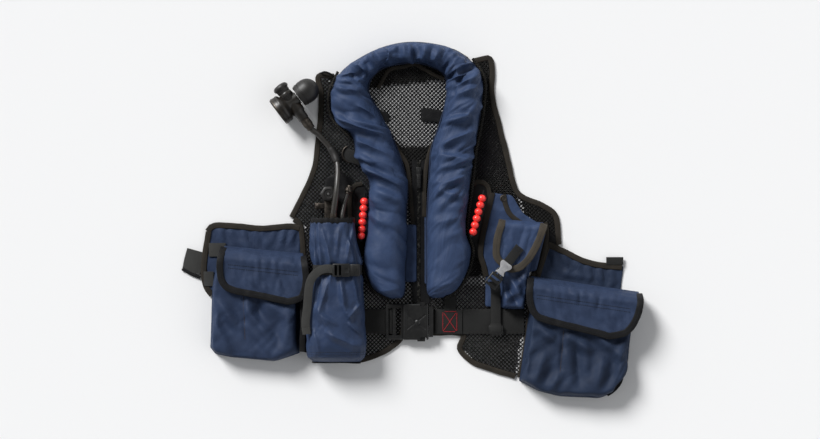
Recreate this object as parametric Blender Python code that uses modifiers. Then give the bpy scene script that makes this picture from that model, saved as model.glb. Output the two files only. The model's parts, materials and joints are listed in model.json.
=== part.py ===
"""Inflatable utility life jacket, laid flat on its back with its front facing up.

Frame: metres, +Z up from the surface the jacket lies on, +Y towards the neck, +X to the wearer's
left as seen from the front. The origin is the centre of the jacket's footprint, on the surface.
Outlines and places are written in millimetres and turned into metres by MM.
"""

import math

import bmesh
import bpy
from mathutils import Matrix, Vector

MM = 0.001

# Driving dimensions, in millimetres.
MESH_FABRIC = 2.0  # bound mesh panels of the vest
PACK_CLOTH = 3.0  # yoke panels, lined cloth
SIDE_POCKET_THICK = 4.4  # zipped flat pocket, two layers and its zip
WEBBING = 2.0
GAP = 0.4  # kept between pieces that touch
BELT_WIDTH = 50.0
STRAP_WIDTH = 20.0
BELT_Y = -203.8  # centre line of the waist belt
BACK_Z = 0.0
FRONT_Z = BACK_Z + MESH_FABRIC + GAP
COLLAR_BACK_Z = FRONT_Z + MESH_FABRIC + GAP
COLLAR_BACK_THICK = 1.6
COVER_Z = COLLAR_BACK_Z + COLLAR_BACK_THICK + GAP
COVER_HEIGHT = 50.0
COVER_CLOTH = 1.5
POCKET_WALL = 4.0
POCKET_LOW = PACK_CLOTH + GAP
POCKET_HIGH = 46.0
FLAP_CLOTH = 2.5
FLAP_HINGE_Z = 7.5  # top of a large flap where it is sewn down
BEAD_RADIUS = 8.4
BEAD_COUNT = 6
CORD_RADIUS = 2.4
BOTTLE_RADIUS = 27.0
HOSE_RADIUS = 5.75
SLEEVE_RADIUS = 8.6
SHORT_HOSE_RADIUS = 4.5
DRUM_RADIUS = 29.0
BALL_RADIUS = 24.5

# Demand valve: where its two axes cross, and the directions of its mouthpiece and of its end cap.
VALVE_CENTRE = Vector((-235.4, 232.9, 29.4))
VALVE_AXIS = Vector((math.cos(math.radians(37.0)), math.sin(math.radians(37.0)), 0.0))
VALVE_CROSS = Vector((-VALVE_AXIS.y, VALVE_AXIS.x, 0.0))

# Small pouch buckle: its centre, and the direction in which its strap runs down from the flap.
SMALL_BUCKLE = Vector((184.5, -97.0, 0.0))
SMALL_STRAP_ANGLE = math.radians(232.0)

PARTS = "inflatable_life_jacket"
CUTTERS = "cutters"

SLOTS = {
    "navy_cloth": ((0.023, 0.042, 0.107), 0.75, 0.0),
    "black_mesh": ((0.012, 0.012, 0.013), 0.9, 0.0),
    "black_webbing": ((0.022, 0.022, 0.023), 0.85, 0.0),
    "grey_webbing": ((0.06, 0.06, 0.06), 0.85, 0.0),
    "black_plastic": ((0.018, 0.018, 0.019), 0.45, 0.0),
    "grey_plastic": ((0.33, 0.33, 0.34), 0.5, 0.0),
    "red_beads": ((0.85, 0.03, 0.03), 0.35, 0.0),
    "black_rubber": ((0.015, 0.014, 0.013), 0.6, 0.0),
    "bladder_film": ((0.75, 0.55, 0.03), 0.5, 0.0),
    "bottle_paint": ((0.55, 0.56, 0.5), 0.4, 0.0),
    "bare_metal": ((0.6, 0.6, 0.6), 0.3, 1.0),
    "dark_metal": ((0.05, 0.045, 0.04), 0.4, 1.0),
}


# ---------------------------------------------------------------- modelling helpers


def clear_scene():
    for item in list(bpy.data.objects):
        bpy.data.objects.remove(item, do_unlink=True)


def collection(name):
    found = bpy.data.collections.get(name)
    if found is None:
        found = bpy.data.collections.new(name)
        bpy.context.scene.collection.children.link(found)
    return found


def material(slot):
    found = bpy.data.materials.get(slot)
    if found is None:
        colour, roughness, metallic = SLOTS[slot]
        found = bpy.data.materials.new(slot)
        found.use_nodes = True
        shader = found.node_tree.nodes["Principled BSDF"]
        shader.inputs["Base Color"].default_value = (*colour, 1.0)
        shader.inputs["Roughness"].default_value = roughness
        shader.inputs["Metallic"].default_value = metallic
    return found


def add_object(name, data, slot, matrix=None):
    item = bpy.data.objects.new(name, data)
    if not data.materials:
        data.materials.append(material(slot))
    collection(PARTS).objects.link(item)
    if matrix is not None:
        item.matrix_world = matrix
    return item


def mesh_object(name, form, slot, matrix=None, smooth=None):
    """An object from a bmesh, smooth up to the given angle in degrees."""
    mesh = bpy.data.meshes.new(name)
    bmesh.ops.recalc_face_normals(form, faces=form.faces)
    form.to_mesh(mesh)
    form.free()
    item = add_object(name, mesh, slot, matrix)
    if smooth is not None:
        mesh.shade_smooth()
        mesh.set_sharp_from_angle(angle=math.radians(smooth))
    return item


def plate(name, outline, low, thick, slot):
    """A flat sheet: a filled outline from height low up."""
    curve = bpy.data.curves.new(name, "CURVE")
    curve.dimensions = "2D"
    curve.fill_mode = "BOTH"
    curve.extrude = thick * MM / 2
    spline = curve.splines.new("POLY")
    spline.points.add(len(outline) - 1)
    for point, (x, y) in zip(spline.points, outline):
        point.co = (x * MM, y * MM, 0.0, 1.0)
    spline.use_cyclic_u = True
    return add_object(name, curve, slot, Matrix.Translation((0, 0, (low + thick / 2) * MM)))


def made_mesh(item, slot):
    """The curve object as a welded mesh object of the same name."""
    bpy.context.view_layer.update()
    graph = bpy.context.evaluated_depsgraph_get()
    mesh = bpy.data.meshes.new_from_object(item.evaluated_get(graph))
    form = bmesh.new()
    form.from_mesh(mesh)
    bmesh.ops.remove_doubles(form, verts=form.verts, dist=1e-6)
    form.to_mesh(mesh)
    form.free()
    name, place = item.name, item.matrix_world.copy()
    bpy.data.objects.remove(item, do_unlink=True)
    mesh.name = name
    return add_object(name, mesh, slot, place)


def box(name, low, high, slot, bevel=0.0, matrix=None):
    """A box from corner low to corner high, in millimetres."""
    form = bmesh.new()
    size = [(h - l) * MM for l, h in zip(low, high)]
    middle = [(h + l) / 2 * MM for l, h in zip(low, high)]
    bmesh.ops.create_cube(form, size=1.0)
    bmesh.ops.scale(form, vec=size, verts=form.verts)
    bmesh.ops.translate(form, vec=middle, verts=form.verts)
    item = mesh_object(name, form, slot, matrix)
    if bevel:
        add_bevel(item, bevel)
    return item


def add_bevel(item, width, segments=2):
    bevel = item.modifiers.new("rounded", "BEVEL")
    bevel.width = width * MM
    bevel.segments = segments
    bevel.limit_method = "ANGLE"
    bevel.angle_limit = math.radians(40)
    return bevel


def turned(name, profile, slot, origin, axis, steps=20):
    """A turned solid. The profile is (along, radius) pairs, from the far end back."""
    mesh = bpy.data.meshes.new(name)
    points = [(radius * MM, 0.0, along * MM) for along, radius in profile]
    edges = [(i, i + 1) for i in range(len(points) - 1)]
    mesh.from_pydata(points, edges, [])
    turn = Vector((0, 0, 1)).rotation_difference(Vector(axis)).to_matrix().to_4x4()
    item = add_object(name, mesh, slot, Matrix.Translation(Vector(origin) * MM) @ turn)
    screw = item.modifiers.new("turned", "SCREW")
    screw.steps = steps
    screw.render_steps = steps
    screw.use_merge_vertices = True
    screw.merge_threshold = 1e-6
    screw.use_smooth_shade = True
    weld = item.modifiers.new("weld", "WELD")
    weld.merge_threshold = 1e-6
    return item


def tube(name, points, radius, slot, sides=2):
    """A round tube along a smooth line through the points."""
    curve = bpy.data.curves.new(name, "CURVE")
    curve.dimensions = "3D"
    curve.bevel_depth = radius * MM
    curve.bevel_resolution = sides
    curve.use_fill_caps = True
    spline = curve.splines.new("POLY")
    spline.points.add(len(points) - 1)
    for knot, point in zip(spline.points, points):
        knot.co = (*(Vector(point) * MM), 1.0)
    return add_object(name, curve, slot)


def smooth_line(points, step):
    """Points about every step millimetres on a smooth curve through the given points."""
    knots = [Vector(p) for p in points]
    knots = [2 * knots[0] - knots[1], *knots, 2 * knots[-1] - knots[-2]]
    line = [knots[1]]
    for before, start, end, after in zip(knots, knots[1:], knots[2:], knots[3:]):
        count = max(1, round((end - start).length / step))
        for i in range(1, count + 1):
            t = i / count
            line.append(
                0.5
                * (
                    2 * start
                    + (end - before) * t
                    + (2 * before - 5 * start + 4 * end - after) * t**2
                    + (3 * start - before - 3 * end + after) * t**3
                )
            )
    return line


def grid_sheet(name, rows, thick, slot, outward=1.0, closed=False, cap_last=False):
    """A cloth sheet over rows of points, given its thickness by Solidify."""
    form = bmesh.new()
    rings = [[form.verts.new(Vector(p) * MM) for p in row] for row in rows]
    count = len(rings[0])
    for one, two in zip(rings, rings[1:]):
        for i in range(count if closed else count - 1):
            j = (i + 1) % count
            form.faces.new((one[i], one[j], two[j], two[i]))
    if cap_last:
        form.faces.new(rings[-1])
    item = mesh_object(name, form, slot, smooth=50)
    solid = item.modifiers.new("cloth", "SOLIDIFY")
    solid.thickness = thick * MM
    solid.offset = outward
    solid.use_even_offset = True
    return item


def combine(item, other, operation):
    """Joins or cuts item by other, which stays in the scene as a hidden cutter."""
    collection(PARTS).objects.unlink(other)
    collection(CUTTERS).objects.link(other)
    other.hide_render = True
    other.display_type = "WIRE"
    cut = item.modifiers.new(operation.lower(), "BOOLEAN")
    cut.operation = operation
    cut.solver = "EXACT"
    cut.object = other
    return item


def inset(outline, wall, open_edge, reach):
    """The outline moved in by wall on every side but the open edge, which moves out by reach."""
    count = len(outline)
    area = sum(
        outline[i][0] * outline[(i + 1) % count][1] - outline[(i + 1) % count][0] * outline[i][1]
        for i in range(count)
    )
    inward = 1.0 if area > 0 else -1.0
    sides = []
    for i in range(count):
        start, end = Vector(outline[i]), Vector(outline[(i + 1) % count])
        along = (end - start).normalized()
        normal = Vector((-along.y, along.x)) * inward
        shift = -reach if i == open_edge else wall
        sides.append((start + normal * shift, along))
    corners = []
    for i in range(count):
        (a, u), (b, v) = sides[i - 1], sides[i]
        distance = (b - a).cross(v) / u.cross(v)
        corners.append(tuple(a + u * distance))
    return corners


def bag(name, outline, mouth, low, high, slot):
    """A pocket: a prism over the outline, hollow, and open along the side numbered mouth."""
    item = made_mesh(plate(name, outline, low, high - low, slot), slot)
    add_bevel(item, POCKET_WALL * 1.2)
    hollow = inset(outline, POCKET_WALL, mouth, 20.0)
    depth = high - low - 2 * POCKET_WALL
    cutter = plate(name + "_hollow", hollow, low + POCKET_WALL, depth, slot)
    return combine(item, made_mesh(cutter, slot), "DIFFERENCE")


def flap(name, hinge, hem, bulge, drop, slot):
    """A pocket flap: rises from its hinge line over the pocket's mouth, then lies on its front.

    hinge and hem are the left and right ends of the two edges; bulge is how far the sides swell,
    and drop lists (share of the way from hinge to hem, height) across the flap.
    """
    rows = []
    columns = 6
    for share, height in drop:
        row = []
        for i in range(columns + 1):
            t = i / columns
            top = Vector(hinge[0]).lerp(Vector(hinge[1]), t)
            bottom = Vector(hem[0]).lerp(Vector(hem[1]), t)
            place = top.lerp(bottom, share)
            swell = bulge * math.sin(math.pi * share) * (2 * t - 1)
            row.append((place.x + swell, place.y, height))
        rows.append(row)
    return grid_sheet(name, rows, FLAP_CLOTH, slot)


def ribbon(name, centres, width, thick, slot, across=None):
    """A strap along the centres; its width lies level, or along across when that is given."""
    rows = []
    for i, centre in enumerate(centres):
        before = Vector(centres[max(i - 1, 0)])
        after = Vector(centres[min(i + 1, len(centres) - 1)])
        run = (after - before).normalized()
        side = Vector(across) if across else Vector((-run.y, run.x, 0.0)).normalized()
        rows.append([Vector(centre) - side * width / 2, Vector(centre) + side * width / 2])
    return grid_sheet(name, rows, thick, slot)


# ---------------------------------------------------------------- vest panels

BACK_OUTLINE = [
    (-148, 283), (-187, 288), (-180, 245), (-187, 162), (-200, 91), (-242, 1), (-222, -10),
    (-216, -14), (-214, -262), (-140, -278), (-103, -286), (-56, -271), (-21, -248), (-12, -226),
    (8, -172), (30, -172), (38, -222), (107, -226), (103, -259), (123, -287), (157, -301),
    (213, -318), (226, -200), (234, -110), (255, -104), (272, -41), (303, -52), (300, -20),
    (294, 13), (266, 33), (227, 50), (212, 70), (200, 121), (181, 196), (168, 251), (168, 314),
    (163, 326), (149, 327), (118, 316), (75, 335), (7, 345), (-55, 335), (-105, 312),
]
FRONT_LEFT_OUTLINE = [
    (-148, 283), (-187, 288), (-180, 245), (-187, 162), (-200, 91), (-242, 1), (-222, -10),
    (-216, -14), (-214, -262), (-140, -278), (-103, -286), (-56, -271), (-21, -248), (-12, -226),
    (14, -168), (14, 100), (-20, 150), (-60, 212), (-84, 258), (-104, 295),
]
FRONT_RIGHT_OUTLINE = [
    (121, 317), (76, 265), (66, 212), (50, 150), (21, 100), (21, -168), (24, -172), (38, -222),
    (107, -226), (103, -259), (123, -287), (157, -301), (213, -318), (226, -200), (232, -110),
    (229, 0), (218, 55), (200, 121), (181, 196), (168, 251), (168, 314), (163, 326), (149, 327),
]
YOKE_LEFT_OUTLINE = [
    (-402, -22), (-388, -9), (-294, -16), (-244, -11), (-220, -15), (-218, -150), (-396, -150),
    (-410, -133), (-414, -104),
]
YOKE_RIGHT_OUTLINE = [
    (276, -49), (305, -61), (350, -82), (387, -90), (427, -93), (421, -140), (414, -160),
    (250, -150), (258, -107),
]
SIDE_POCKET_OUTLINE = [
    (165, 53), (204, 48), (226, 12), (268, -15), (270, -30), (252, -102), (231, -106), (229, -176),
    (150, -174), (151, -113), (140, -62),
]


def vest_panels():
    plate("back_mesh", BACK_OUTLINE, BACK_Z, MESH_FABRIC, "black_mesh")
    plate("front_mesh_left", FRONT_LEFT_OUTLINE, FRONT_Z, MESH_FABRIC, "black_mesh")
    plate("front_mesh_right", FRONT_RIGHT_OUTLINE, FRONT_Z, MESH_FABRIC, "black_mesh")
    plate("yoke_left", YOKE_LEFT_OUTLINE, BACK_Z, PACK_CLOTH, "navy_cloth")
    plate("yoke_right", YOKE_RIGHT_OUTLINE, BACK_Z, PACK_CLOTH, "navy_cloth")
    plate("side_pocket_right", SIDE_POCKET_OUTLINE, COLLAR_BACK_Z + GAP, SIDE_POCKET_THICK,
          "navy_cloth")
    grommet_ring()


def grommet_ring():
    """The metal eyelet in the top corner of the side pocket."""
    low, high, outer, inner = 0.0, 1.6, 6.5, 3.2
    profile = [(high, inner), (high, outer), (low, outer), (low, inner), (high, inner)]
    top = COLLAR_BACK_Z + 2 * GAP + SIDE_POCKET_THICK
    turned("grommet", profile, "dark_metal", (186.0, 42.0, top), (0, 0, 1), steps=16)


# ---------------------------------------------------------------- buoyancy collar

# The collar's outer and inner edges, as pairs across it, from the left lobe's end round the neck.
COLLAR_EDGES = [
    ((-38, -158), (-19, -157)), ((-56, -150), (-12, -148)), ((-75, -133), (-10.5, -123)),
    ((-92, -90), (-9, -80)), ((-88, -30), (-8, -30)), ((-83.5, 26), (-7, 26)),
    ((-82, 76), (-6, 73)), ((-108, 126), (-22, 130)), ((-137, 177), (-42, 178)),
    ((-158, 249), (-62, 212)), ((-140, 292), (-83, 256)), ((-102, 322), (-75, 285)),
    ((-50, 346), (-47, 305)), ((7.5, 355), (7.5, 313)), ((75, 345), (50, 303)),
    ((121, 318), (70, 286)), ((143, 285), (74, 262)), ((145, 245), (70, 230)),
    ((139, 195), (60, 192)), ((128, 140), (43, 142)), ((123, 92), (38, 80)),
    ((117, 40), (35, 26)), ((111, -20), (34, -30)), ((122, -62), (34, -80)),
    ((113, -106), (34, -123)), ((92, -140), (36, -148)), ((66, -156), (46, -157)),
]
COVER_PROFILE_STEPS = 8


def cover_height(index):
    """The collar is low where it rounds off at its two ends and thinner behind the neck."""
    last = len(COLLAR_EDGES) - 1
    from_end = min(index, last - index)
    if from_end == 0:
        return 0.2 * COVER_HEIGHT
    if from_end == 1:
        return 0.72 * COVER_HEIGHT
    behind_neck = math.exp(-(((index - last / 2) / 3.0) ** 2))
    return COVER_HEIGHT * (1.0 - 0.24 * behind_neck)


def collar_cover():
    """The cover's front: an arched shell over the folded bladder, open along its back."""
    rows = []
    for index, (outer, inner) in enumerate(COLLAR_EDGES):
        outer, inner = Vector(outer), Vector(inner)
        row = []
        for i in range(COVER_PROFILE_STEPS + 1):
            angle = math.pi * i / COVER_PROFILE_STEPS
            across = 0.5 - 0.5 * math.copysign(abs(math.cos(angle)) ** 0.8, math.cos(angle))
            rise = math.sin(angle) ** 0.8 * cover_height(index)
            place = outer.lerp(inner, across)
            row.append((place.x, place.y, COVER_Z + rise))
        rows.append(row)
    grid_sheet("collar_cover", rows, COVER_CLOTH, "navy_cloth", outward=-1.0)


def collar_back():
    outline = [outer for outer, _ in COLLAR_EDGES] + [inner for _, inner in reversed(COLLAR_EDGES)]
    plate("collar_back", outline, COLLAR_BACK_Z, COLLAR_BACK_THICK, "navy_cloth")


def bladder():
    """The buoyancy cell, folded into a roll that runs all the way round inside the cover."""
    route = [
        (-27, -128), (-26, -60), (-25, 20), (-27, 75), (-47, 125), (-75, 180), (-100, 228),
        (-106, 270), (-82, 305), (-45, 325), (7, 334), (60, 325), (96, 300), (108, 262),
        (106, 215), (93, 160), (72, 105), (56, 50), (52, -10), (52, -70), (55, -126),
    ]
    radius = 13.0
    points = smooth_line([(x, y, COVER_Z + GAP + radius) for x, y in route], 30.0)
    tube("bladder", points, radius, "bladder_film")


def inflation_system(side, cylinder_x, body_x, lever_x):
    """A gas cylinder, the inflator head on its neck and the firing lever on the head's outer side."""
    body_y = 44.0
    low, radius = COVER_Z + 1.5, 12.0
    centre_z = low + radius
    profile = [
        (0.0, 0.0), (0.0, 5.0), (-7.0, 5.0), (-14.0, radius), (-104.0, radius), (-112.0, 7.0),
        (-114.0, 0.0),
    ]
    neck = (cylinder_x, body_y - GAP, centre_z)
    turned("gas_cylinder_" + side, profile, "bare_metal", neck, (0, 1, 0), steps=12)
    box(
        "inflator_" + side,
        (body_x - 10, body_y, low), (body_x + 10, body_y + 34, low + 22), "black_plastic", bevel=2,
    )
    lever = box(
        "inflator_lever_" + side,
        (-1.6, -15.0, -3.0), (1.6, 3.0, 3.0), "grey_plastic", bevel=0.8,
    )
    lever.location = Vector((lever_x, body_y + 8, low + 15)) * MM


def oral_tube():
    """The mouth inflation tube with its valve head, stowed along the left lobe."""
    tube_z = COVER_Z + 36.5
    route = [(-46, -62, tube_z), (-47, 0, tube_z + 1), (-46, 60, tube_z)]
    tube("oral_tube", smooth_line(route, 20), 4.5, "black_rubber")


def bead_handle(side, top, bottom):
    """A pull handle: round beads threaded on a cord, as one turned body."""
    start, end = Vector((*top, 28.5)), Vector((*bottom, 28.5))
    axis = (start - end).normalized()
    pitch = (end - start).length / (BEAD_COUNT - 1)
    profile = [(BEAD_RADIUS + 9.0, 0.0), (BEAD_RADIUS + 9.0, CORD_RADIUS)]
    for bead in range(BEAD_COUNT):
        neck_angle = math.asin(min(1.0, CORD_RADIUS / BEAD_RADIUS))
        for i in range(5):
            angle = neck_angle + (math.pi - 2 * neck_angle) * i / 4
            along = -bead * pitch + BEAD_RADIUS * math.cos(angle)
            profile.append((along, BEAD_RADIUS * math.sin(angle)))
    profile += [(profile[-1][0] - 3.0, CORD_RADIUS), (profile[-1][0] - 3.0, 0.0)]
    turned("bead_handle_" + side, profile, "red_beads", start, axis, steps=10)


def collar():
    collar_cover()
    collar_back()
    bladder()
    oral_tube()
    inflation_system("left", -60.0, -61.0, -73.4)
    inflation_system("right", 92.0, 93.0, 105.4)
    bead_handle("left", (-91.5, 36.0), (-98.0, -50.5))
    bead_handle("right", (144.0, 41.5), (125.5, -43.0))


# ---------------------------------------------------------------- front zip

ZIP_X = 17.5
ZIP_TOP, ZIP_BOTTOM = 118.0, -166.0
SLIDER_Y = 96.0


def front_zip():
    tape_z = COLLAR_BACK_Z
    half = 14.0
    plate("zip_half_left", [(ZIP_X - half, ZIP_TOP), (ZIP_X - 0.3, ZIP_TOP),
                            (ZIP_X - 0.3, ZIP_BOTTOM), (ZIP_X - half, ZIP_BOTTOM)],
          tape_z, 1.4, "black_webbing")
    plate("zip_half_right", [(ZIP_X + 0.3, ZIP_TOP), (ZIP_X + half, ZIP_TOP),
                             (ZIP_X + half, ZIP_BOTTOM), (ZIP_X + 0.3, ZIP_BOTTOM)],
          tape_z, 1.4, "black_webbing")
    slider_low = tape_z + 1.4 + GAP
    box("zip_slider", (ZIP_X - 5.5, SLIDER_Y - 9, slider_low),
        (ZIP_X + 5.5, SLIDER_Y + 9, slider_low + 5), "black_plastic", bevel=1.2)
    box("zip_pull", (ZIP_X - 4, SLIDER_Y - 33, slider_low + 5.4),
        (ZIP_X + 4, SLIDER_Y + 0.8, slider_low + 7.6), "black_plastic", bevel=0.8)
    guard = [(-4.5, -10), (11.5, -10), (11.5, -125), (-4.5, -125)]
    plate("zip_guard", guard, tape_z + 1.4 + GAP, 1.6, "navy_cloth")


# ---------------------------------------------------------------- waist belt and buckle

BELT_Z = COLLAR_BACK_Z
BUCKLE_LOW = BELT_Z + WEBBING + 1.0
BUCKLE_HEIGHT = 12.5
LATCH_Y = 22.5  # each latch arm's centre line, from the belt's centre line


def band(left, right, low_y, high_y):
    return [(left, high_y), (right, high_y), (right, low_y), (left, low_y)]


def waist_belt():
    half = BELT_WIDTH / 2
    plate("belt_left", band(-205, -18, BELT_Y - half, BELT_Y + half), BELT_Z, WEBBING, "black_webbing")
    plate("belt_right", band(47, 228, BELT_Y - half, BELT_Y + half), BELT_Z, WEBBING, "black_webbing")
    end = [(-439, -60), (-456.5, -98), (-419.5, -116), (-415.2, -104), (-411, -75)]
    plate("belt_end_left", end, BACK_Z, 2 * WEBBING, "black_webbing")


def waist_buckle():
    low, high = BUCKLE_LOW, BUCKLE_LOW + BUCKLE_HEIGHT
    body = box("waist_buckle_female", (-14, BELT_Y - 36, low), (37, BELT_Y + 36, high),
               "black_plastic", bevel=2.5)
    ladder = box("waist_ladder", (-48, BELT_Y - 35, low), (-12, BELT_Y + 35, low + 6), "black_plastic")
    combine(body, ladder, "UNION")
    for number, (left, right) in enumerate(((-43, -35), (-28, -19))):
        slot = box(f"waist_slot_{number}", (left, BELT_Y - 26, low - 5), (right, BELT_Y + 26, low + 12),
                   "black_plastic")
        combine(body, slot, "DIFFERENCE")
    socket_low, socket_high = low + 2.6, high - 2.6
    socket = box("waist_socket", (4, BELT_Y - 29, socket_low), (50, BELT_Y + 29, socket_high),
                 "black_plastic")
    combine(body, socket, "DIFFERENCE")
    window = box("waist_window", (12, BELT_Y - 45, socket_low), (50, BELT_Y + 45, socket_high),
                 "black_plastic")
    combine(body, window, "DIFFERENCE")
    inner_low, inner_high = socket_low + 0.5, socket_high - 0.5
    male = box("waist_buckle_male", (37.6, BELT_Y - 30, low + 0.4), (46, BELT_Y + 30, high - 0.4),
               "black_plastic")
    tongue = box("waist_tongue", (8, BELT_Y - 7, inner_low), (42, BELT_Y + 7, inner_high),
                 "black_plastic")
    combine(male, tongue, "UNION")
    for name, side in (("upper", 1), ("lower", -1)):
        latch = [
            (-27.0, -3.0), (0.0, -4.0), (0.0, 4.0), (-5.0, 4.5), (-6.0, 16.4), (-21.0, 16.4),
            (-23.5, 6.0),
        ]
        outline = [(36.0 + x, BELT_Y + side * (LATCH_Y + y)) for x, y in latch]
        plate("waist_latch_" + name, outline, inner_low, inner_high - inner_low, "black_plastic")


# ---------------------------------------------------------------- large pockets

LEFT_POCKET = [
    (-384, -88), (-394, -127), (-398, -255), (-358, -271), (-270, -280), (-241, -271),
    (-221, -266), (-219, -98),
]
RIGHT_POCKET = [
    (246, -146), (236, -203), (219, -322), (297, -351), (378, -355), (404, -343), (432, -306),
    (440, -228), (446, -171),
]
FLAP_DROP = [
    (0.0, FLAP_HINGE_Z), (0.05, 26.0), (0.13, 40.0), (0.24, POCKET_HIGH + 2.6),
    (0.6, POCKET_HIGH + 2.0), (1.0, POCKET_HIGH + 1.0),
]


def large_pockets():
    bag("pocket_left", LEFT_POCKET, len(LEFT_POCKET) - 1, POCKET_LOW, POCKET_HIGH, "navy_cloth")
    flap("pocket_left_flap", ((-370, -54), (-213, -69)), ((-366, -141), (-214, -163)), 8.0,
         FLAP_DROP, "navy_cloth")
    bag("pocket_right", RIGHT_POCKET, len(RIGHT_POCKET) - 1, POCKET_LOW, POCKET_HIGH, "navy_cloth")
    flap("pocket_right_flap", ((241, -114), (456, -146)), ((252, -200), (424, -232)), 10.0,
         FLAP_DROP, "navy_cloth")


# ---------------------------------------------------------------- bottle pouch and breathing bottle

POUCH_LOW = BELT_Z + WEBBING + GAP
# Along the pouch: y, centre x, half width, height.
POUCH_SECTIONS = [
    (2, -153, 42, 60), (-30, -153, 43, 62), (-60, -150, 45, 64), (-86, -144, 46, 65),
    (-113, -144, 46, 65), (-150, -146, 51, 66), (-205, -147, 57, 66), (-250, -146, 60, 64),
    (-274, -146, 56, 54), (-284, -146, 44, 34),
]
POUCH_SIDES = 14
BOTTLE_X = -146.0
BOTTLE_Z = POUCH_LOW + 4.0 + BOTTLE_RADIUS


def pouch_ring(centre, half_width, height, start=0.0, end=2 * math.pi, count=POUCH_SIDES, grow=0.0):
    """Points round a soft squarish section that stands on POUCH_LOW."""
    ring = []
    for i in range(count):
        angle = start + (end - start) * i / count
        c, s = math.cos(angle), math.sin(angle)
        x = centre + (half_width + grow) * math.copysign(abs(c) ** 0.75, c)
        z = POUCH_LOW + height / 2 + (height / 2 + grow) * math.copysign(abs(s) ** 0.75, s)
        ring.append((x, z))
    return ring


def bottle_pouch():
    rows = []
    for y, centre, half_width, height in POUCH_SECTIONS:
        rows.append([(x, y, z) for x, z in pouch_ring(centre, half_width, height)])
    grid_sheet("bottle_pouch", rows, 1.5, "navy_cloth", outward=-1.0, closed=True, cap_last=True)


def pouch_strap():
    """The cinch strap: over the pouch from one side to the other, and its free end hanging."""
    _, centre, half_width, height = POUCH_SECTIONS[3]
    arc = pouch_ring(centre, half_width, height, math.radians(200), math.radians(-20), 17, grow=0.8)
    y = -99.5
    rows = [[(x, y - STRAP_WIDTH / 2, z), (x, y + STRAP_WIDTH / 2, z)] for x, z in arc]
    grid_sheet("pouch_strap", rows, 1.4, "black_webbing", outward=1.0)
    top = POUCH_LOW + height
    tail = [
        (-171, -97, top + 3.6), (-181, -101.5, top + 3.6), (-192, -114, top + 1), (-198, -140, top - 1),
        (-202, -172, top - 4), (-206, -204, top - 6), (-203, -226, top - 7),
    ]
    ribbon("strap_tail", smooth_line(tail, 14.0), STRAP_WIDTH, 1.4, "grey_webbing")


def pouch_buckle():
    low = POUCH_LOW + POUCH_SECTIONS[3][3] + 3.6
    high = low + 8.0
    y = -99.5
    body = box("pouch_buckle_female", (-152, y - 13, low), (-118, y + 13, high), "black_plastic", bevel=1)
    for number, (left, right) in enumerate(((-149, -145), (-140, -136))):
        combine(body, box(f"pouch_slot_{number}", (left, y - 10.5, low - 5), (right, y + 10.5, high + 5),
                          "black_plastic"), "DIFFERENCE")
    combine(body, box("pouch_socket", (-131, y - 10.4, low + 1.8), (-110, y + 10.4, high - 1.8),
                      "black_plastic"), "DIFFERENCE")
    male = box("pouch_buckle_male", (-117.4, y - 12, low + 0.4), (-98, y + 12, high - 0.4),
               "black_plastic", bevel=1)
    combine(male, box("pouch_tongue", (-129.5, y - 9.6, low + 2.3), (-110, y + 9.6, high - 2.3),
                      "black_plastic"), "UNION")


def bottle():
    """The small breathing-air bottle inside the pouch."""
    profile = [(14.0, 0.0), (14.0, 9.0), (0.0, 9.0), (-3.0, 14.0), (-9.0, 22.0), (-18.0, BOTTLE_RADIUS)]
    profile += [(-192.0, BOTTLE_RADIUS), (-200.0, 22.0), (-203.0, 0.0)]
    turned("breathing_bottle", profile, "bottle_paint", (BOTTLE_X, -66.0, BOTTLE_Z), (0, 1, 0), steps=20)


KNOB_CENTRE = Vector((-162.0, 51.0, 0.0))
VALVE_LOW = 9.0
VALVE_TOP = 20.0
PORT_Y = -4.0


def first_stage():
    """The pressure-reducing valve on the bottle's neck, with the pillar that carries the knob."""
    low, high = BOTTLE_Z - 15.0, BOTTLE_Z + 15.0
    stage = box("first_stage", (-171, -51.4, low), (-125, PORT_Y, high), "dark_metal", bevel=2)
    pillar = box("stage_pillar", (-171, -30, VALVE_LOW + 3), (-154, 66, VALVE_TOP + 8), "dark_metal")
    combine(stage, pillar, "UNION")
    seat = turned("knob_seat", [(12.0, 0.0), (12.0, 3.0), (-4.0, 3.0), (-4.0, 0.0)], "dark_metal",
                  KNOB_CENTRE + Vector((0, 0, VALVE_TOP + 8)), (0, 0, 1), steps=12)
    combine(stage, seat, "UNION")
    lever = box("stage_lever_block", (-190, 20, VALVE_LOW + 4), (-168, 34, VALVE_TOP + 4), "dark_metal")
    combine(stage, lever, "UNION")


def valve_knob():
    """A lobed hand knob with a hole over its spindle."""
    lobes, swell, outer = 6, 1.2, 15.0
    outline = []
    for i in range(lobes * 6):
        angle = 2 * math.pi * i / (lobes * 6)
        radius = outer + swell * math.cos(lobes * angle)
        outline.append((KNOB_CENTRE.x + radius * math.cos(angle), KNOB_CENTRE.y + radius * math.sin(angle)))
    low = VALVE_TOP + 8 + GAP
    knob = made_mesh(plate("valve_knob", outline, low, 10.0, "black_plastic"), "black_plastic")
    hole = turned("knob_hole", [(15.0, 0.0), (15.0, 3.4), (-5.0, 3.4), (-5.0, 0.0)], "black_plastic",
                  KNOB_CENTRE + Vector((0, 0, low)), (0, 0, 1), steps=12)
    combine(knob, hole, "DIFFERENCE")


# ---------------------------------------------------------------- hoses

HOSE_ROUTE = [
    (-151.5, PORT_Y + GAP, 43.0), (-151.5, 8.0, 43.0), (-150.2, 20.0, 43.8), (-147.5, 38.0, 45.2),
    (-145.5, 55.0, 45.0),
    (-143.8, 75.0, 40.5), (-143.0, 95.0, 32.0), (-144.8, 114.0, 23.5), (-151.0, 131.0, 18.6),
    (-161.5, 146.0, 17.8), (-173.0, 159.0, 20.2), (-184.5, 171.5, 25.0),
]
NUT_NEAR, NUT_FAR = -66.0, -42.0  # the swivel nut's ends along the valve's cross axis


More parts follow.
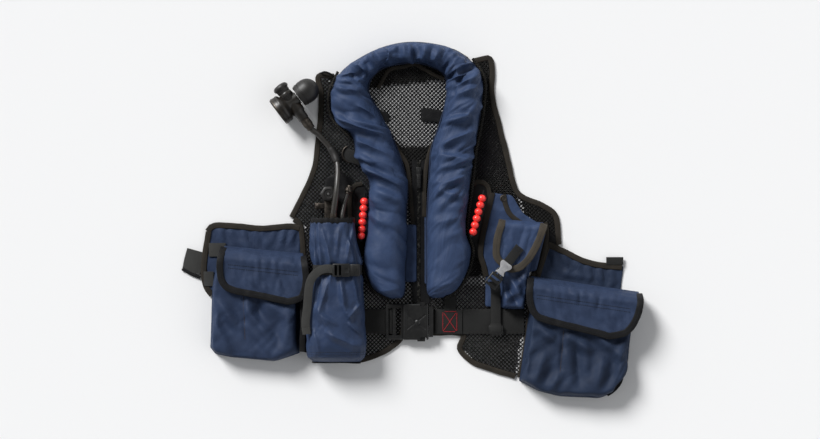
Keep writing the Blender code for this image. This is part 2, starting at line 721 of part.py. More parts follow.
def hose_line():
    """The breathing hose's centre line, from the first stage to the demand valve's inlet."""
    end = VALVE_CENTRE + VALVE_CROSS * (NUT_NEAR + 8.0)
    return smooth_line([*HOSE_ROUTE, VALVE_CENTRE + VALVE_CROSS * (NUT_NEAR - 3.0), end], 13.0)


def hoses():
    line = hose_line()
    tube("air_hose", line, HOSE_RADIUS, "black_rubber", sides=3)
    sleeve_line = [p for p in line if 112.0 < p.y < 146.0]
    sleeve = tube("hose_sleeve", sleeve_line, SLEEVE_RADIUS, "black_rubber", sides=3)
    bore = tube("sleeve_bore", line, HOSE_RADIUS + 0.35, "black_rubber", sides=3)
    combine(made_mesh(sleeve, "black_rubber"), made_mesh(bore, "black_rubber"), "DIFFERENCE")
    short = [
        (-134.5, PORT_Y + GAP, 36.0), (-134.5, 7.0, 36.0), (-132.5, 20.0, 33.0), (-129.0, 35.0, 28.0),
        (-124.6, 50.0, 24.0),
    ]
    tube("fill_hose", smooth_line(short, 9.0), SHORT_HOSE_RADIUS, "black_rubber")
    run = (Vector(short[-1]) - Vector(short[-2])).normalized()
    profile = [(18.0, 0.0), (18.0, 6.0), (12.0, 7.0), (2.0, 7.0), (GAP, 5.2), (GAP, 0.0)]
    turned("fill_fitting", profile, "dark_metal", short[-1], run, steps=12)


# ---------------------------------------------------------------- demand valve


def on_valve(along, across=0.0):
    return VALVE_CENTRE + VALVE_AXIS * along + VALVE_CROSS * across


def demand_valve():
    drum = [
        (-8.0, 0.0), (-8.0, 17.0), (-14.0, 23.0), (-17.0, DRUM_RADIUS), (-34.0, DRUM_RADIUS),
        (-34.0, 25.4), (-29.0, 25.4), (-29.0, 0.0),
    ]
    body = turned("demand_valve_body", drum, "black_plastic", VALVE_CENTRE, VALVE_AXIS, steps=18)
    neck = [(16.0, 0.0), (16.0, 13.0), (-10.0, 15.0), (-10.0, 0.0)]
    combine(body, turned("valve_neck", neck, "black_plastic", VALVE_CENTRE, VALVE_AXIS, steps=12), "UNION")
    barrel = [
        (23.6, 0.0), (23.6, 12.5), (20.0, 13.5), (-24.0, 13.5), (-28.0, 10.5), (-41.6, 10.5),
        (-41.6, 6.9), (-50.0, 6.9), (-50.0, 0.0),
    ]
    combine(body, turned("valve_barrel", barrel, "black_plastic", VALVE_CENTRE, VALVE_CROSS, steps=16),
            "UNION")
    cap = [(41.0, 0.0), (42.0, 8.0), (40.0, 13.5), (34.0, 15.5), (30.0, 13.5), (24.0, 12.5), (24.0, 0.0)]
    turned("exhaust_cap", cap, "black_rubber", VALVE_CENTRE, VALVE_CROSS, steps=16)
    purge = [(-32.0, 0.0), (-32.0, 24.6), (-34.4, 24.6), (-34.4, 0.0)]
    turned("purge_button", purge, "bare_metal", VALVE_CENTRE, VALVE_AXIS, steps=18)
    mouthpiece = [(38.0, 0.0), (38.0, 12.0), (30.0, 12.0), (28.0, 9.0), (16.5, 9.0), (16.5, 0.0)]
    turned("mouthpiece", mouthpiece, "black_rubber", VALVE_CENTRE, VALVE_AXIS, steps=16)
    mouthpiece_cover()
    nut = [
        (NUT_FAR, 7.2), (NUT_FAR, 9.4), (NUT_NEAR + 8, 9.4), (NUT_NEAR + 6, 8.2), (NUT_NEAR, 8.2),
        (NUT_NEAR, 7.2), (NUT_FAR, 7.2),
    ]
    turned("swivel_nut", nut, "dark_metal", VALVE_CENTRE, VALVE_CROSS, steps=12)


def mouthpiece_cover():
    """A round rubber cup over the mouthpiece, open where it fits over the valve's neck."""
    middle, skirt, skirt_radius, wall, steps = 38.0, 17.5, 21.0, 2.0, 6

    def dome(radius, end):
        turn = [math.pi / 2 * i / steps for i in range(steps + 1)]
        tip = [(middle + radius * math.cos(a), radius * math.sin(a)) for a in turn]
        return [*tip, ((middle + skirt) / 2, radius * 0.975), (skirt, end)]

    profile = dome(BALL_RADIUS, skirt_radius) + dome(BALL_RADIUS - wall, skirt_radius - wall)[::-1]
    turned("mouthpiece_cover", profile, "black_rubber", VALVE_CENTRE, VALVE_AXIS, steps=16)


# ---------------------------------------------------------------- small pouch

SMALL_POUCH = [
    (182, -14), (257, -18), (262, -28), (238, -90), (226, -178), (186, -176), (184, -130),
    (170, -95), (164, -60),
]
SMALL_LOW = COLLAR_BACK_Z + GAP + SIDE_POCKET_THICK + GAP
SMALL_HIGH = 38.0
SMALL_DROP = [
    (0.0, SMALL_LOW + 1.6), (0.03, 27.0), (0.07, 38.0), (0.14, SMALL_HIGH + 2.8),
    (0.6, SMALL_HIGH + 2.0), (1.0, SMALL_HIGH + 1.2),
]


def small_pouch():
    bag("small_pouch", SMALL_POUCH, 0, SMALL_LOW, SMALL_HIGH, "navy_cloth")
    flap("small_pouch_flap", ((184, -1), (266, -8)), ((172, -90), (220, -101)), 6.0, SMALL_DROP,
         "navy_cloth")
    small_buckle()
    strap = [
        (167, -124, 42.6), (168, -131, 41.0), (170, -138, 28.0), (171, -146, 14.0),
        (171, -156, SMALL_LOW + 1.0), (171, -231, SMALL_LOW + 1.0),
    ]
    ribbon("pouch_lower_strap", strap, STRAP_WIDTH, 1.4, "black_webbing", across=(1, 0, 0))
    keeper_low = SMALL_LOW + 3.2
    box("strap_keeper", (156, -229, keeper_low), (186, -211, keeper_low + 2.5), "black_plastic", bevel=0.6)


def small_buckle():
    """The side-release buckle that holds the flap: a hood on the flap over a tongue on the strap."""
    place = Matrix.Translation(SMALL_BUCKLE * MM) @ Matrix.Rotation(SMALL_STRAP_ANGLE, 4, "Z")
    low = SMALL_HIGH + 6.0
    hood = box("small_buckle_female", (-14, -13, low), (13, 13, low + 9), "grey_plastic", bevel=1,
               matrix=place)
    combine(hood, box("small_socket", (-10, -10.5, low - 5), (20, 10.5, low + 6.8), "grey_plastic",
                      matrix=place), "DIFFERENCE")
    male = box("small_buckle_male", (16, -13, low + 0.6), (44, 13, low + 6), "black_plastic", bevel=1,
               matrix=place)
    for number, (left, right) in enumerate(((23, 27), (33, 38))):
        combine(male, box(f"small_slot_{number}", (left, -10.5, low - 5), (right, 10.5, low + 12),
                          "black_plastic", matrix=place), "DIFFERENCE")
    combine(male, box("small_tongue", (4, -9.6, low + 1.2), (20, 9.6, low + 5.4), "black_plastic",
                      matrix=place), "UNION")


def build():
    clear_scene()
    collection(PARTS)
    cutters = collection(CUTTERS)
    vest_panels()
    collar()
    front_zip()
    waist_belt()
    waist_buckle()
    large_pockets()
    bottle_pouch()
    pouch_strap()
    pouch_buckle()
    bottle()
    first_stage()
    valve_knob()
    hoses()
    demand_valve()
    small_pouch()
    cutters.hide_render = True


build()
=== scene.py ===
"""The looks of an inflatable utility life jacket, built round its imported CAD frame."""

import json
import math

import bmesh
import bpy
import numpy as np
from mathutils import Matrix, Vector, noise

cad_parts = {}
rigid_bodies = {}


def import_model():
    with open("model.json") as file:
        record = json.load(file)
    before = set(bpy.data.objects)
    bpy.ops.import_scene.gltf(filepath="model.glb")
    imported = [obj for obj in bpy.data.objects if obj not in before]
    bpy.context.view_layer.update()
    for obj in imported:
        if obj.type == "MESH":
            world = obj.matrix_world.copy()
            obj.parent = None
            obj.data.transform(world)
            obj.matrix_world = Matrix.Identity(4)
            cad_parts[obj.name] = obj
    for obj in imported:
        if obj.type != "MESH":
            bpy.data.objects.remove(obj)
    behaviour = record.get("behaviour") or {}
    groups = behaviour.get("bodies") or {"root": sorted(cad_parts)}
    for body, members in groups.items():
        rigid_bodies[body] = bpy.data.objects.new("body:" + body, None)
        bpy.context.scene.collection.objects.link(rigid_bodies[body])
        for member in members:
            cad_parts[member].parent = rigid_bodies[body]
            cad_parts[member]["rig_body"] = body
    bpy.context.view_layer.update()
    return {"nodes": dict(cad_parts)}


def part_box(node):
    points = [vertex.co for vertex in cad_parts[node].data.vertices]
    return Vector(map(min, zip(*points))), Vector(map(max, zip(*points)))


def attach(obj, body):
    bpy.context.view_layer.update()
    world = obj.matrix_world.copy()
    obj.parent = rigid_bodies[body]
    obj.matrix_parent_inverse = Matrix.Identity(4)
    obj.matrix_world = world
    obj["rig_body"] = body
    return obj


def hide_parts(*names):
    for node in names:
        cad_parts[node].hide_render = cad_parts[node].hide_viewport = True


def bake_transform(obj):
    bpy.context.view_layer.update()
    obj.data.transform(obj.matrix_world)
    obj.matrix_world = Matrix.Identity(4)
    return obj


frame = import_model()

MM = 0.001
NODES = frame["nodes"]


def low(node):
    """A CAD node's lowest corner, in millimetres."""
    return np.array(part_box(node)[0]) / MM


def high(node):
    """A CAD node's highest corner, in millimetres."""
    return np.array(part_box(node)[1]) / MM


FRONT_Z = low("front_mesh_left")[2]
COVER_Z = low("collar_cover")[2]
COVER_TOP = high("collar_cover")[2]
POCKET_Z = low("pocket_left")[2]
POCKET_TOP = high("pocket_left")[2]
BELT_Z = low("belt_left")[2]
BELT_Y = (low("belt_left")[1] + high("belt_left")[1]) / 2
ZIP_X = (low("zip_half_left")[0] + high("zip_half_right")[0]) / 2


# ------------------------------------------------------------------ camera, light and floor


def stage():
    """A pale floor, a soft window-like key light and a camera straight above the jacket."""
    view_width, height = 1.64, 4.2
    camera = bpy.data.cameras.new("camera")
    camera.sensor_width = 36.0
    camera.lens = camera.sensor_width * height / view_width
    camera.clip_end = 50.0
    eye = bpy.data.objects.new("camera", camera)
    eye.location = (0.0, 0.0, height)
    bpy.context.scene.collection.objects.link(eye)
    bpy.context.scene.camera = eye

    bpy.ops.mesh.primitive_plane_add(size=30.0, location=(0, 0, -0.0006))
    floor = bpy.context.object
    floor.name = "floor"
    mat = bpy.data.materials.new("floor_paper")
    mat.use_nodes = True
    shader = mat.node_tree.nodes["Principled BSDF"]
    shader.inputs["Base Color"].default_value = (0.82, 0.82, 0.82, 1)
    shader.inputs["Roughness"].default_value = 0.95
    shader.inputs["Specular IOR Level"].default_value = 0.1
    floor.data.materials.append(mat)

    def sun(name, toward, strength, spread):
        light = bpy.data.lights.new(name, "SUN")
        light.energy = strength
        light.angle = math.radians(spread)
        lamp = bpy.data.objects.new(name, light)
        lamp.rotation_euler = (-Vector(toward)).to_track_quat("-Z", "Y").to_euler()
        bpy.context.scene.collection.objects.link(lamp)

    sun("key", (-0.68, 0.82, 0.72), 4.15, 22.0)
    sun("fill", (0.9, -0.15, 0.75), 0.4, 60.0)
    world = bpy.data.worlds.new("studio")
    world.use_nodes = True
    tree = world.node_tree
    sky = tree.nodes["Background"]
    where = tree.nodes.new("ShaderNodeTexCoord")
    axes = tree.nodes.new("ShaderNodeSeparateXYZ")
    shade = tree.nodes.new("ShaderNodeMapRange")
    shade.inputs["From Min"].default_value, shade.inputs["From Max"].default_value = 0.25, 0.95
    shade.inputs["To Min"].default_value, shade.inputs["To Max"].default_value = 0.66, 0.08
    tree.links.new(where.outputs["Generated"], axes.inputs["Vector"])
    tree.links.new(axes.outputs["Z"], shade.inputs["Value"])
    tree.links.new(shade.outputs["Result"], sky.inputs["Strength"])
    sky.inputs["Color"].default_value = (0.95, 0.97, 1.0, 1)
    bpy.context.scene.world = world
    bpy.context.scene.view_settings.view_transform = "Standard"


# ------------------------------------------------------------------ materials


class Material:
    """A Principled material built up from nodes."""

    def __init__(self, name, roughness=0.6, metallic=0.0, uv=True):
        self.data = bpy.data.materials.new(name)
        self.data.use_nodes = True
        self.tree = self.data.node_tree
        self.shader = self.tree.nodes["Principled BSDF"]
        self.shader.inputs["Roughness"].default_value = roughness
        self.shader.inputs["Metallic"].default_value = metallic
        source = self.add("ShaderNodeTexCoord")
        self.place = source.outputs["UV" if uv else "Object"]

    def add(self, kind, settings=None, **values):
        node = self.tree.nodes.new(kind)
        for name, value in (settings or {}).items():
            setattr(node, name, value)
        for name, value in values.items():
            self.put(node.inputs[name.replace("_", " ")], value)
        return node

    def put(self, socket, value):
        if isinstance(value, bpy.types.NodeSocket):
            self.tree.links.new(value, socket)
        elif isinstance(value, (tuple, list)) and len(value) == 3 and socket.type == "RGBA":
            socket.default_value = (*value, 1.0)
        else:
            socket.default_value = value

    def noise(self, scale, detail=3.0, place=None, rough=0.55):
        node = self.add("ShaderNodeTexNoise", Vector=place or self.place, Scale=scale, Detail=detail)
        node.inputs["Roughness"].default_value = rough
        return node.outputs["Fac"]

    def wave(self, period, axis="X", distortion=0.0, place=None):
        node = self.add(
            "ShaderNodeTexWave",
            {"wave_type": "BANDS", "bands_direction": axis, "wave_profile": "SIN"},
            Vector=place or self.place, Scale=math.pi / 10 / period, Distortion=distortion,
        )
        return node.outputs["Fac"]

    def ramp(self, factor, stops):
        node = self.add("ShaderNodeValToRGB", Fac=factor)
        points = node.color_ramp.elements
        while len(points) < len(stops):
            points.new(0.5)
        for point, (at, colour) in zip(points, stops):
            point.position = at
            point.color = (*colour, 1.0) if isinstance(colour, tuple) else (colour,) * 3 + (1.0,)
        return node.outputs["Color"]

    def mix(self, factor, one, two):
        node = self.add("ShaderNodeMix", {"data_type": "RGBA"})
        self.put(node.inputs[0], factor)
        self.put(node.inputs[6], one)
        self.put(node.inputs[7], two)
        return node.outputs[2]

    def math(self, operation, one, two=0.0):
        node = self.add("ShaderNodeMath", {"operation": operation})
        self.put(node.inputs[0], one)
        self.put(node.inputs[1], two)
        return node.outputs[0]

    def colour(self, value):
        self.put(self.shader.inputs["Base Color"], value)

    def rough(self, factor, least, most):
        node = self.add("ShaderNodeMapRange", Value=factor)
        node.inputs["To Min"].default_value = least
        node.inputs["To Max"].default_value = most
        self.put(self.shader.inputs["Roughness"], node.outputs["Result"])

    def bumps(self, *layers):
        """Each layer is (height, distance in metres, strength), coarsest first."""
        normal = None
        for height, distance, strength in layers:
            node = self.add("ShaderNodeBump", Height=height, Distance=distance, Strength=strength)
            if normal is not None:
                self.put(node.inputs["Normal"], normal)
            normal = node.outputs["Normal"]
        self.put(self.shader.inputs["Normal"], normal)

    def sheen(self, weight, roughness, tint):
        self.shader.inputs["Sheen Weight"].default_value = weight
        self.shader.inputs["Sheen Roughness"].default_value = roughness
        self.shader.inputs["Sheen Tint"].default_value = (*tint, 1.0)


def woven(name, dark, light, period, creases=0.0, roughness=(0.5, 0.68), sheen=0.2, uv=True,
          tint=(0.5, 0.62, 1.0), twill=False, specular=0.22):
    """Cloth: two crossing thread directions, mottled colour, and fine creases."""
    m = Material(name, uv=uv)
    m.shader.inputs["Specular IOR Level"].default_value = specular
    warp = m.wave(period, "DIAGONAL" if twill else "X", 0.3)
    weft = m.wave(period, "Y", 0.3)
    threads = m.math("MULTIPLY", warp, weft)
    mottle = m.noise(34.0, 5.0)
    tone = m.mix(m.ramp(mottle, [(0.3, 0.0), (0.7, 1.0)]), dark, light)
    m.colour(m.mix(m.math("MULTIPLY", threads, 0.35), tone, tuple(c * 1.5 for c in light)))
    m.rough(m.noise(90.0, 4.0), *roughness)
    layers = [(threads, period * 0.16, 0.5)]
    if creases:
        layers.insert(0, (m.noise(55.0, 6.0, rough=0.6), 0.004, creases))
    m.bumps(*layers)
    m.sheen(sheen, 0.4, tint)
    return m.data


def webbing_material(name, dark, light):
    """Close-woven strap: fine ribs across it."""
    m = Material(name)
    ribs = m.wave(0.0021, "Y", 0.4)
    weave = m.wave(0.0014, "X", 0.6)
    both = m.math("MULTIPLY", ribs, weave)
    wear = m.ramp(m.noise(60.0, 6.0), [(0.42, 0.0), (0.7, 1.0)])
    m.colour(m.mix(both, m.mix(wear, dark, tuple(c * 1.25 for c in dark)), light))
    m.rough(m.noise(120.0), 0.6, 0.8)
    m.bumps((ribs, 0.0004, 0.6), (both, 0.0003, 0.5))
    m.sheen(0.04, 0.5, (0.8, 0.8, 0.8))
    m.shader.inputs["Specular IOR Level"].default_value = 0.25
    return m.data


def plastic(name, dark, light, roughness, grain=0.00012, uv=False, coat=0.0):
    """Moulded plastic: fine grain, mottled gloss and paler scuffs."""
    m = Material(name, uv=uv)
    scuff = m.ramp(m.noise(140.0, 8.0, rough=0.7), [(0.5, 0.0), (0.72, 1.0)])
    m.colour(m.mix(scuff, dark, light))
    m.rough(m.noise(70.0, 5.0), *roughness)
    m.bumps((m.noise(900.0, 2.0), grain, 0.5), (m.noise(60.0, 3.0), 0.0004, 0.25))
    m.shader.inputs["Coat Weight"].default_value = coat
    m.shader.inputs["Coat Roughness"].default_value = 0.25
    return m.data


def metal(name, dark, light, roughness, brushed=0.0002):
    m = Material(name, metallic=1.0, uv=False)
    stain = m.ramp(m.noise(110.0, 7.0, rough=0.65), [(0.35, 0.0), (0.7, 1.0)])
    m.colour(m.mix(stain, dark, light))
    m.rough(m.noise(200.0, 4.0), *roughness)
    m.bumps((m.noise(1400.0, 2.0), brushed, 0.4))
    return m.data


def rubber(name, dark, light, roughness=(0.38, 0.6)):
    m = Material(name, uv=False)
    dust = m.ramp(m.noise(80.0, 8.0, rough=0.7), [(0.4, 0.0), (0.75, 1.0)])
    m.colour(m.mix(dust, dark, light))
    m.rough(m.noise(60.0, 5.0), *roughness)
    m.bumps((m.noise(1100.0, 3.0), 0.00015, 0.5), (m.noise(45.0, 2.0), 0.0005, 0.2))
    return m.data


NAVY = woven("navy_nylon", (0.021, 0.036, 0.080), (0.031, 0.052, 0.112), 0.0007, creases=0.3,
             roughness=(0.5, 0.62), sheen=0.02, specular=0.2)
# Painted shade: a darker copy of the navy nylon for the large pockets, their flaps and the left yoke, standing in for
# the light falling off towards the lower part of the jacket.
NAVY_PAINTED_SHADE = woven("navy_nylon_painted_shade", (0.0165, 0.0265, 0.056), (0.0245, 0.039, 0.080), 0.0008, creases=0.3,
                  roughness=(0.55, 0.7), sheen=0.02, specular=0.16)
# Painted shade: a still darker copy of the navy nylon for the right pocket and the right yoke, standing in for the
# light falling off towards the right.
NAVY_DEEPER_PAINTED_SHADE = woven("navy_nylon_deeper_painted_shade", (0.012, 0.0195, 0.040), (0.018, 0.029, 0.058), 0.0008, creases=0.3,
                  roughness=(0.55, 0.7), sheen=0.02, specular=0.16)
NAVY_SHINY = woven("navy_taffeta", (0.0155, 0.0275, 0.062), (0.0235, 0.041, 0.092), 0.0006, creases=0.25,
                   roughness=(0.46, 0.58), sheen=0.02, specular=0.26)
NAVY_DEEP = woven("navy_nylon_deep", (0.008, 0.014, 0.034), (0.012, 0.021, 0.048), 0.0007,
                  creases=0.3, roughness=(0.5, 0.7), sheen=0.04)
BINDING = woven("binding_tape", (0.013, 0.0108, 0.008), (0.026, 0.0212, 0.0155), 0.0011, creases=0.12,
                roughness=(0.55, 0.75), sheen=0.06, tint=(0.8, 0.72, 0.6), specular=0.2)
BINDING_OLIVE = woven("olive_binding_tape", (0.028, 0.0235, 0.0175), (0.052, 0.043, 0.032), 0.0011, creases=0.12,
                      roughness=(0.55, 0.75), sheen=0.06, tint=(0.8, 0.72, 0.6), specular=0.2)
BLACK_CLOTH = woven("black_lining", (0.004, 0.004, 0.0045), (0.009, 0.009, 0.0095), 0.0009,
                    creases=0.3, sheen=0.03, tint=(0.7, 0.7, 0.8), specular=0.15)
NET = woven("net_thread", (0.003, 0.003, 0.003), (0.008, 0.0076, 0.007), 0.0006, uv=False, sheen=0.02,
            tint=(0.8, 0.8, 0.8), specular=0.12)
WEBBING = webbing_material("black_webbing", (0.0075, 0.0075, 0.0072), (0.021, 0.021, 0.020))
WEBBING_GREY = webbing_material("grey_webbing", (0.022, 0.022, 0.021), (0.062, 0.062, 0.058))
PLASTIC = plastic("black_nylon", (0.006, 0.006, 0.006), (0.015, 0.0145, 0.014), (0.32, 0.5))
PLASTIC_GREY = plastic("grey_nylon", (0.26, 0.26, 0.27), (0.40, 0.40, 0.40), (0.36, 0.5))
BEAD_RED = plastic("bead_red", (0.95, 0.035, 0.028), (1.0, 0.085, 0.07), (0.26, 0.4), coat=0.3)
HOSE_RUBBER = rubber("hose_rubber", (0.020, 0.018, 0.016), (0.040, 0.036, 0.031), (0.3, 0.44))
RUBBER = rubber("soft_rubber", (0.005, 0.0045, 0.004), (0.014, 0.012, 0.011))
BODY_BROWN = plastic("valve_housing", (0.008, 0.0065, 0.005), (0.024, 0.018, 0.013), (0.3, 0.46))
STEEL = metal("bright_steel", (0.42, 0.41, 0.40), (0.72, 0.71, 0.70), (0.22, 0.42))
DARK_METAL = metal("worn_black_metal", (0.035, 0.031, 0.028), (0.11, 0.095, 0.08), (0.35, 0.55))
THREAD_DARK = webbing_material("dark_thread", (0.010, 0.012, 0.018), (0.03, 0.035, 0.05))
THREAD_BROWN = webbing_material("brown_thread", (0.05, 0.032, 0.02), (0.12, 0.08, 0.05))
THREAD_BLACK = webbing_material("black_thread", (0.003, 0.003, 0.004), (0.008, 0.008, 0.009))
THREAD_RED = webbing_material("red_thread", (0.36, 0.012, 0.020), (0.60, 0.035, 0.05))
TEETH = plastic("zip_teeth", (0.014, 0.014, 0.013), (0.20, 0.19, 0.17), (0.2, 0.35))
TEETH_OLIVE = plastic("burst_zip_teeth", (0.030, 0.027, 0.020), (0.13, 0.12, 0.09), (0.22, 0.36))
BLADDER = woven("bladder_nylon", (0.62, 0.36, 0.01), (0.78, 0.50, 0.02), 0.0008, creases=0.3, uv=False,
                tint=(1.0, 0.9, 0.5))
BOTTLE_PAINT = plastic("bottle_paint", (0.36, 0.37, 0.33), (0.52, 0.53, 0.48), (0.3, 0.45))


# ------------------------------------------------------------------ shape helpers


def points3(points, z=0.0):
    p = np.array(points, float)
    if p.shape[1] == 2:
        p = np.hstack([p, np.full((len(p), 1), float(z))])
    return p


def smooth(points, step, closed=False, z=0.0):
    """Points about every step millimetres on a smooth curve through the given points."""
    p = points3(points, z)
    p = np.vstack([p[-1:], p, p[:2]] if closed else [2 * p[:1] - p[1:2], p, 2 * p[-1:] - p[-2:-1]])
    line = []
    for a, b, c, d in zip(p, p[1:], p[2:], p[3:]):
        count = max(1, round(np.linalg.norm(c - b) / step))
        t = (np.arange(count) / count)[:, None]
        line.append(0.5 * (2 * b + (c - a) * t + (2 * a - 5 * b + 4 * c - d) * t**2
                           + (3 * b - a - 3 * c + d) * t**3))
    if not closed:
        line.append(p[-2:-1])
    return np.vstack(line)


def even(line, count):
    """The line read again at count points, equally far apart."""
    steps = np.linalg.norm(np.diff(line, axis=0), axis=1)
    along = np.concatenate([[0], np.cumsum(steps)])
    at = np.linspace(0, along[-1], count)
    return np.stack([np.interp(at, along, line[:, i]) for i in range(line.shape[1])], axis=1)


def inside(points, outline):
    """Which of the points lie inside the outline, both in the XY plane."""
    x, y = points[:, 0], points[:, 1]
    result = np.zeros(len(points), bool)
    for (x1, y1), (x2, y2) in zip(outline, np.roll(outline, -1, axis=0)):
        crosses = (y1 > y) != (y2 > y)
        with np.errstate(divide="ignore", invalid="ignore"):
            result ^= crosses & (x < (x2 - x1) * (y - y1) / (y2 - y1) + x1)
    return result


def finish_piece(obj, mat, body, angle=45.0):
    if mat is not None:
        obj.data.materials.clear()
        obj.data.materials.append(mat)
    obj.data.shade_smooth()
    obj.data.set_sharp_from_angle(angle=math.radians(angle))
    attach(obj, body)
    return obj


def follow(obj):
    """Webbing held by a moving buckle: it goes with the buckle at start and is sewn to the vest at end."""
    world = obj.matrix_world.copy()
    obj.parent = None
    obj.matrix_world = world
    del obj["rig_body"]
    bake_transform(obj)


def new_mesh(name, verts, faces, mat, body="vest", uv=None, angle=45.0, recalc=True):
    """A piece from points in millimetres; uv holds one pair in metres for each point."""
    mesh = bpy.data.meshes.new(name)
    mesh.from_pydata((np.asarray(verts, float) * MM).tolist(), [], [list(f) for f in faces])
    if uv is not None:
        layer = mesh.uv_layers.new(name="cloth")
        index = np.zeros(len(mesh.loops), np.int32)
        mesh.loops.foreach_get("vertex_index", index)
        layer.data.foreach_set("uv", (np.asarray(uv)[index] * MM).astype(np.float32).ravel())
    if recalc:
        form = bmesh.new()
        form.from_mesh(mesh)
        bmesh.ops.recalc_face_normals(form, faces=form.faces)
        form.to_mesh(mesh)
        form.free()
    obj = bpy.data.objects.new(name, mesh)
    bpy.context.scene.collection.objects.link(obj)
    return finish_piece(obj, mat, body, angle)


def rounded(width, thick, corner=None, steps=3):
    """A rounded rectangle's points, centred, as (side, up)."""
    corner = min(thick, width) / 2 * 0.98 if corner is None else corner
    out = []
    for sx, sy, start in ((1, 1, 0), (-1, 1, 90), (-1, -1, 180), (1, -1, 270)):
        for i in range(steps + 1):
            a = math.radians(start + 90 * i / steps)
            out.append((sx * (width / 2 - corner) + corner * math.cos(a),
                        sy * (thick / 2 - corner) + corner * math.sin(a)))
    return np.array(out)


def circle(radius, sides=16):
    a = np.linspace(0, 2 * math.pi, sides, endpoint=False)
    return np.stack([np.cos(a), np.sin(a)], axis=1) * radius


def sweep(name, path, profile, mat, body="vest", closed=False, up=(0, 0, 1), scale=None):
    """A profile carried along a path. Its first axis lies sideways, its second along up."""
    path = points3(path)
    count, sides = len(path), len(profile)
    if closed:
        tangent = np.roll(path, -1, axis=0) - np.roll(path, 1, axis=0)
    else:
        tangent = np.gradient(path, axis=0)
    tangent /= np.linalg.norm(tangent, axis=1, keepdims=True)
    ups = np.broadcast_to(np.asarray(up, float), path.shape)
    side = np.cross(tangent, ups)
    side /= np.linalg.norm(side, axis=1, keepdims=True)
    ups = np.cross(side, tangent)
    size = np.ones((count, 1, 1)) if scale is None else np.asarray(scale, float).reshape(count, 1, -1)
    local = profile[None] * size
    verts = path[:, None] + side[:, None] * local[..., :1] + ups[:, None] * local[..., 1:]
    around = np.arange(sides)
    faces = []
    for i in range(count if closed else count - 1):
        a, b = i * sides, ((i + 1) % count) * sides
        for j in around:
            k = (j + 1) % sides
            faces.append((a + j, a + k, b + k, b + j))
    if not closed:
        faces.append(tuple(around[::-1]))
        faces.append(tuple(around + (count - 1) * sides))
    length = np.concatenate([[0], np.cumsum(np.linalg.norm(np.diff(path, axis=0), axis=1))])
    uv = np.stack([np.tile(profile[:, 0], count), np.repeat(length, sides)], axis=1)
    return new_mesh(name, verts.reshape(-1, 3), faces, mat, body, uv)


def revolve(name, profile, origin, axis, mat, body="vest", steps=32, slot=None, ripple=None):
    """A turned piece: (along, radius) pairs in millimetres about an axis through origin."""
    profile = np.array(profile, float)
    turn = Vector((0, 0, 1)).rotation_difference(Vector(axis)).to_matrix()
    angles = np.linspace(0, 2 * math.pi, steps, endpoint=False)
    verts, faces = [], []
    for along, radius in profile:
        for a in angles:
            r = radius * (1.0 if ripple is None else ripple(a, along))
            verts.append(tuple(turn @ Vector((r * math.cos(a), r * math.sin(a), along)) + Vector(origin)))
    rows = len(profile)
    for i in range(rows - 1):
        for j in range(steps):
            k = (j + 1) % steps
            faces.append((i * steps + j, i * steps + k, (i + 1) * steps + k, (i + 1) * steps + j))
    obj = new_mesh(name, verts, faces, mat, body, recalc=False)
    form = bmesh.new()
    form.from_mesh(obj.data)
    bmesh.ops.remove_doubles(form, verts=form.verts, dist=1e-7)
    bmesh.ops.holes_fill(form, edges=[e for e in form.edges if e.is_boundary])
    bmesh.ops.recalc_face_normals(form, faces=form.faces)
    form.to_mesh(obj.data)
    form.free()
    return finish_piece(obj, mat, body, 38.0)


def rounded_box(name, low_corner, high_corner, mat, body="vest", bevel=1.0, segments=3, matrix=None):
    """A moulded block with rounded edges, in millimetres."""
    form = bmesh.new()
    bmesh.ops.create_cube(form, size=1.0)
    size = np.subtract(high_corner, low_corner)
    middle = np.add(high_corner, low_corner) / 2
    bmesh.ops.scale(form, vec=size.tolist(), verts=form.verts)
    bmesh.ops.translate(form, vec=middle.tolist(), verts=form.verts)
    bmesh.ops.bevel(form, geom=form.edges, offset=bevel, segments=segments, profile=0.5,
                    affect="EDGES")
    if matrix is not None:
        bmesh.ops.transform(form, matrix=matrix, verts=form.verts)
    bmesh.ops.scale(form, vec=(MM, MM, MM), verts=form.verts)
    mesh = bpy.data.meshes.new(name)
    form.to_mesh(mesh)
    form.free()
    obj = bpy.data.objects.new(name, mesh)
    bpy.context.scene.collection.objects.link(obj)
    return finish_piece(obj, mat, body, 35.0)


def join(name, pieces):
    """Several pieces of one body and material made one object."""
    first = pieces[0]
    with bpy.context.temp_override(active_object=first, selected_editable_objects=pieces,
                                   selected_objects=pieces):
        bpy.ops.object.join()
    first.name = name
    return first


def cut(obj, cutter):
    """Cuts a piece by a helper, which is then removed."""
    change = obj.modifiers.new("cut", "BOOLEAN")
    change.operation = "DIFFERENCE"
    change.solver = "EXACT"
    change.object = cutter
    graph = bpy.context.evaluated_depsgraph_get()
    mesh = bpy.data.meshes.new_from_object(obj.evaluated_get(graph))
    obj.modifiers.clear()
    obj.data = mesh
    obj.data.shade_smooth()
    obj.data.set_sharp_from_angle(angle=math.radians(35))
    bpy.data.objects.remove(cutter, do_unlink=True)
    return obj


# ------------------------------------------------------------------ cloth

WAITING = []  # cloth sheets to be simulated together


def grid_faces(rows, columns, around=False):
    faces = []
    for i in range(rows - 1):
        for j in range(columns if around else columns - 1):
            k = (j + 1) % columns
            faces.append((i * columns + j, i * columns + k, (i + 1) * columns + k, (i + 1) * columns + j))
    return faces


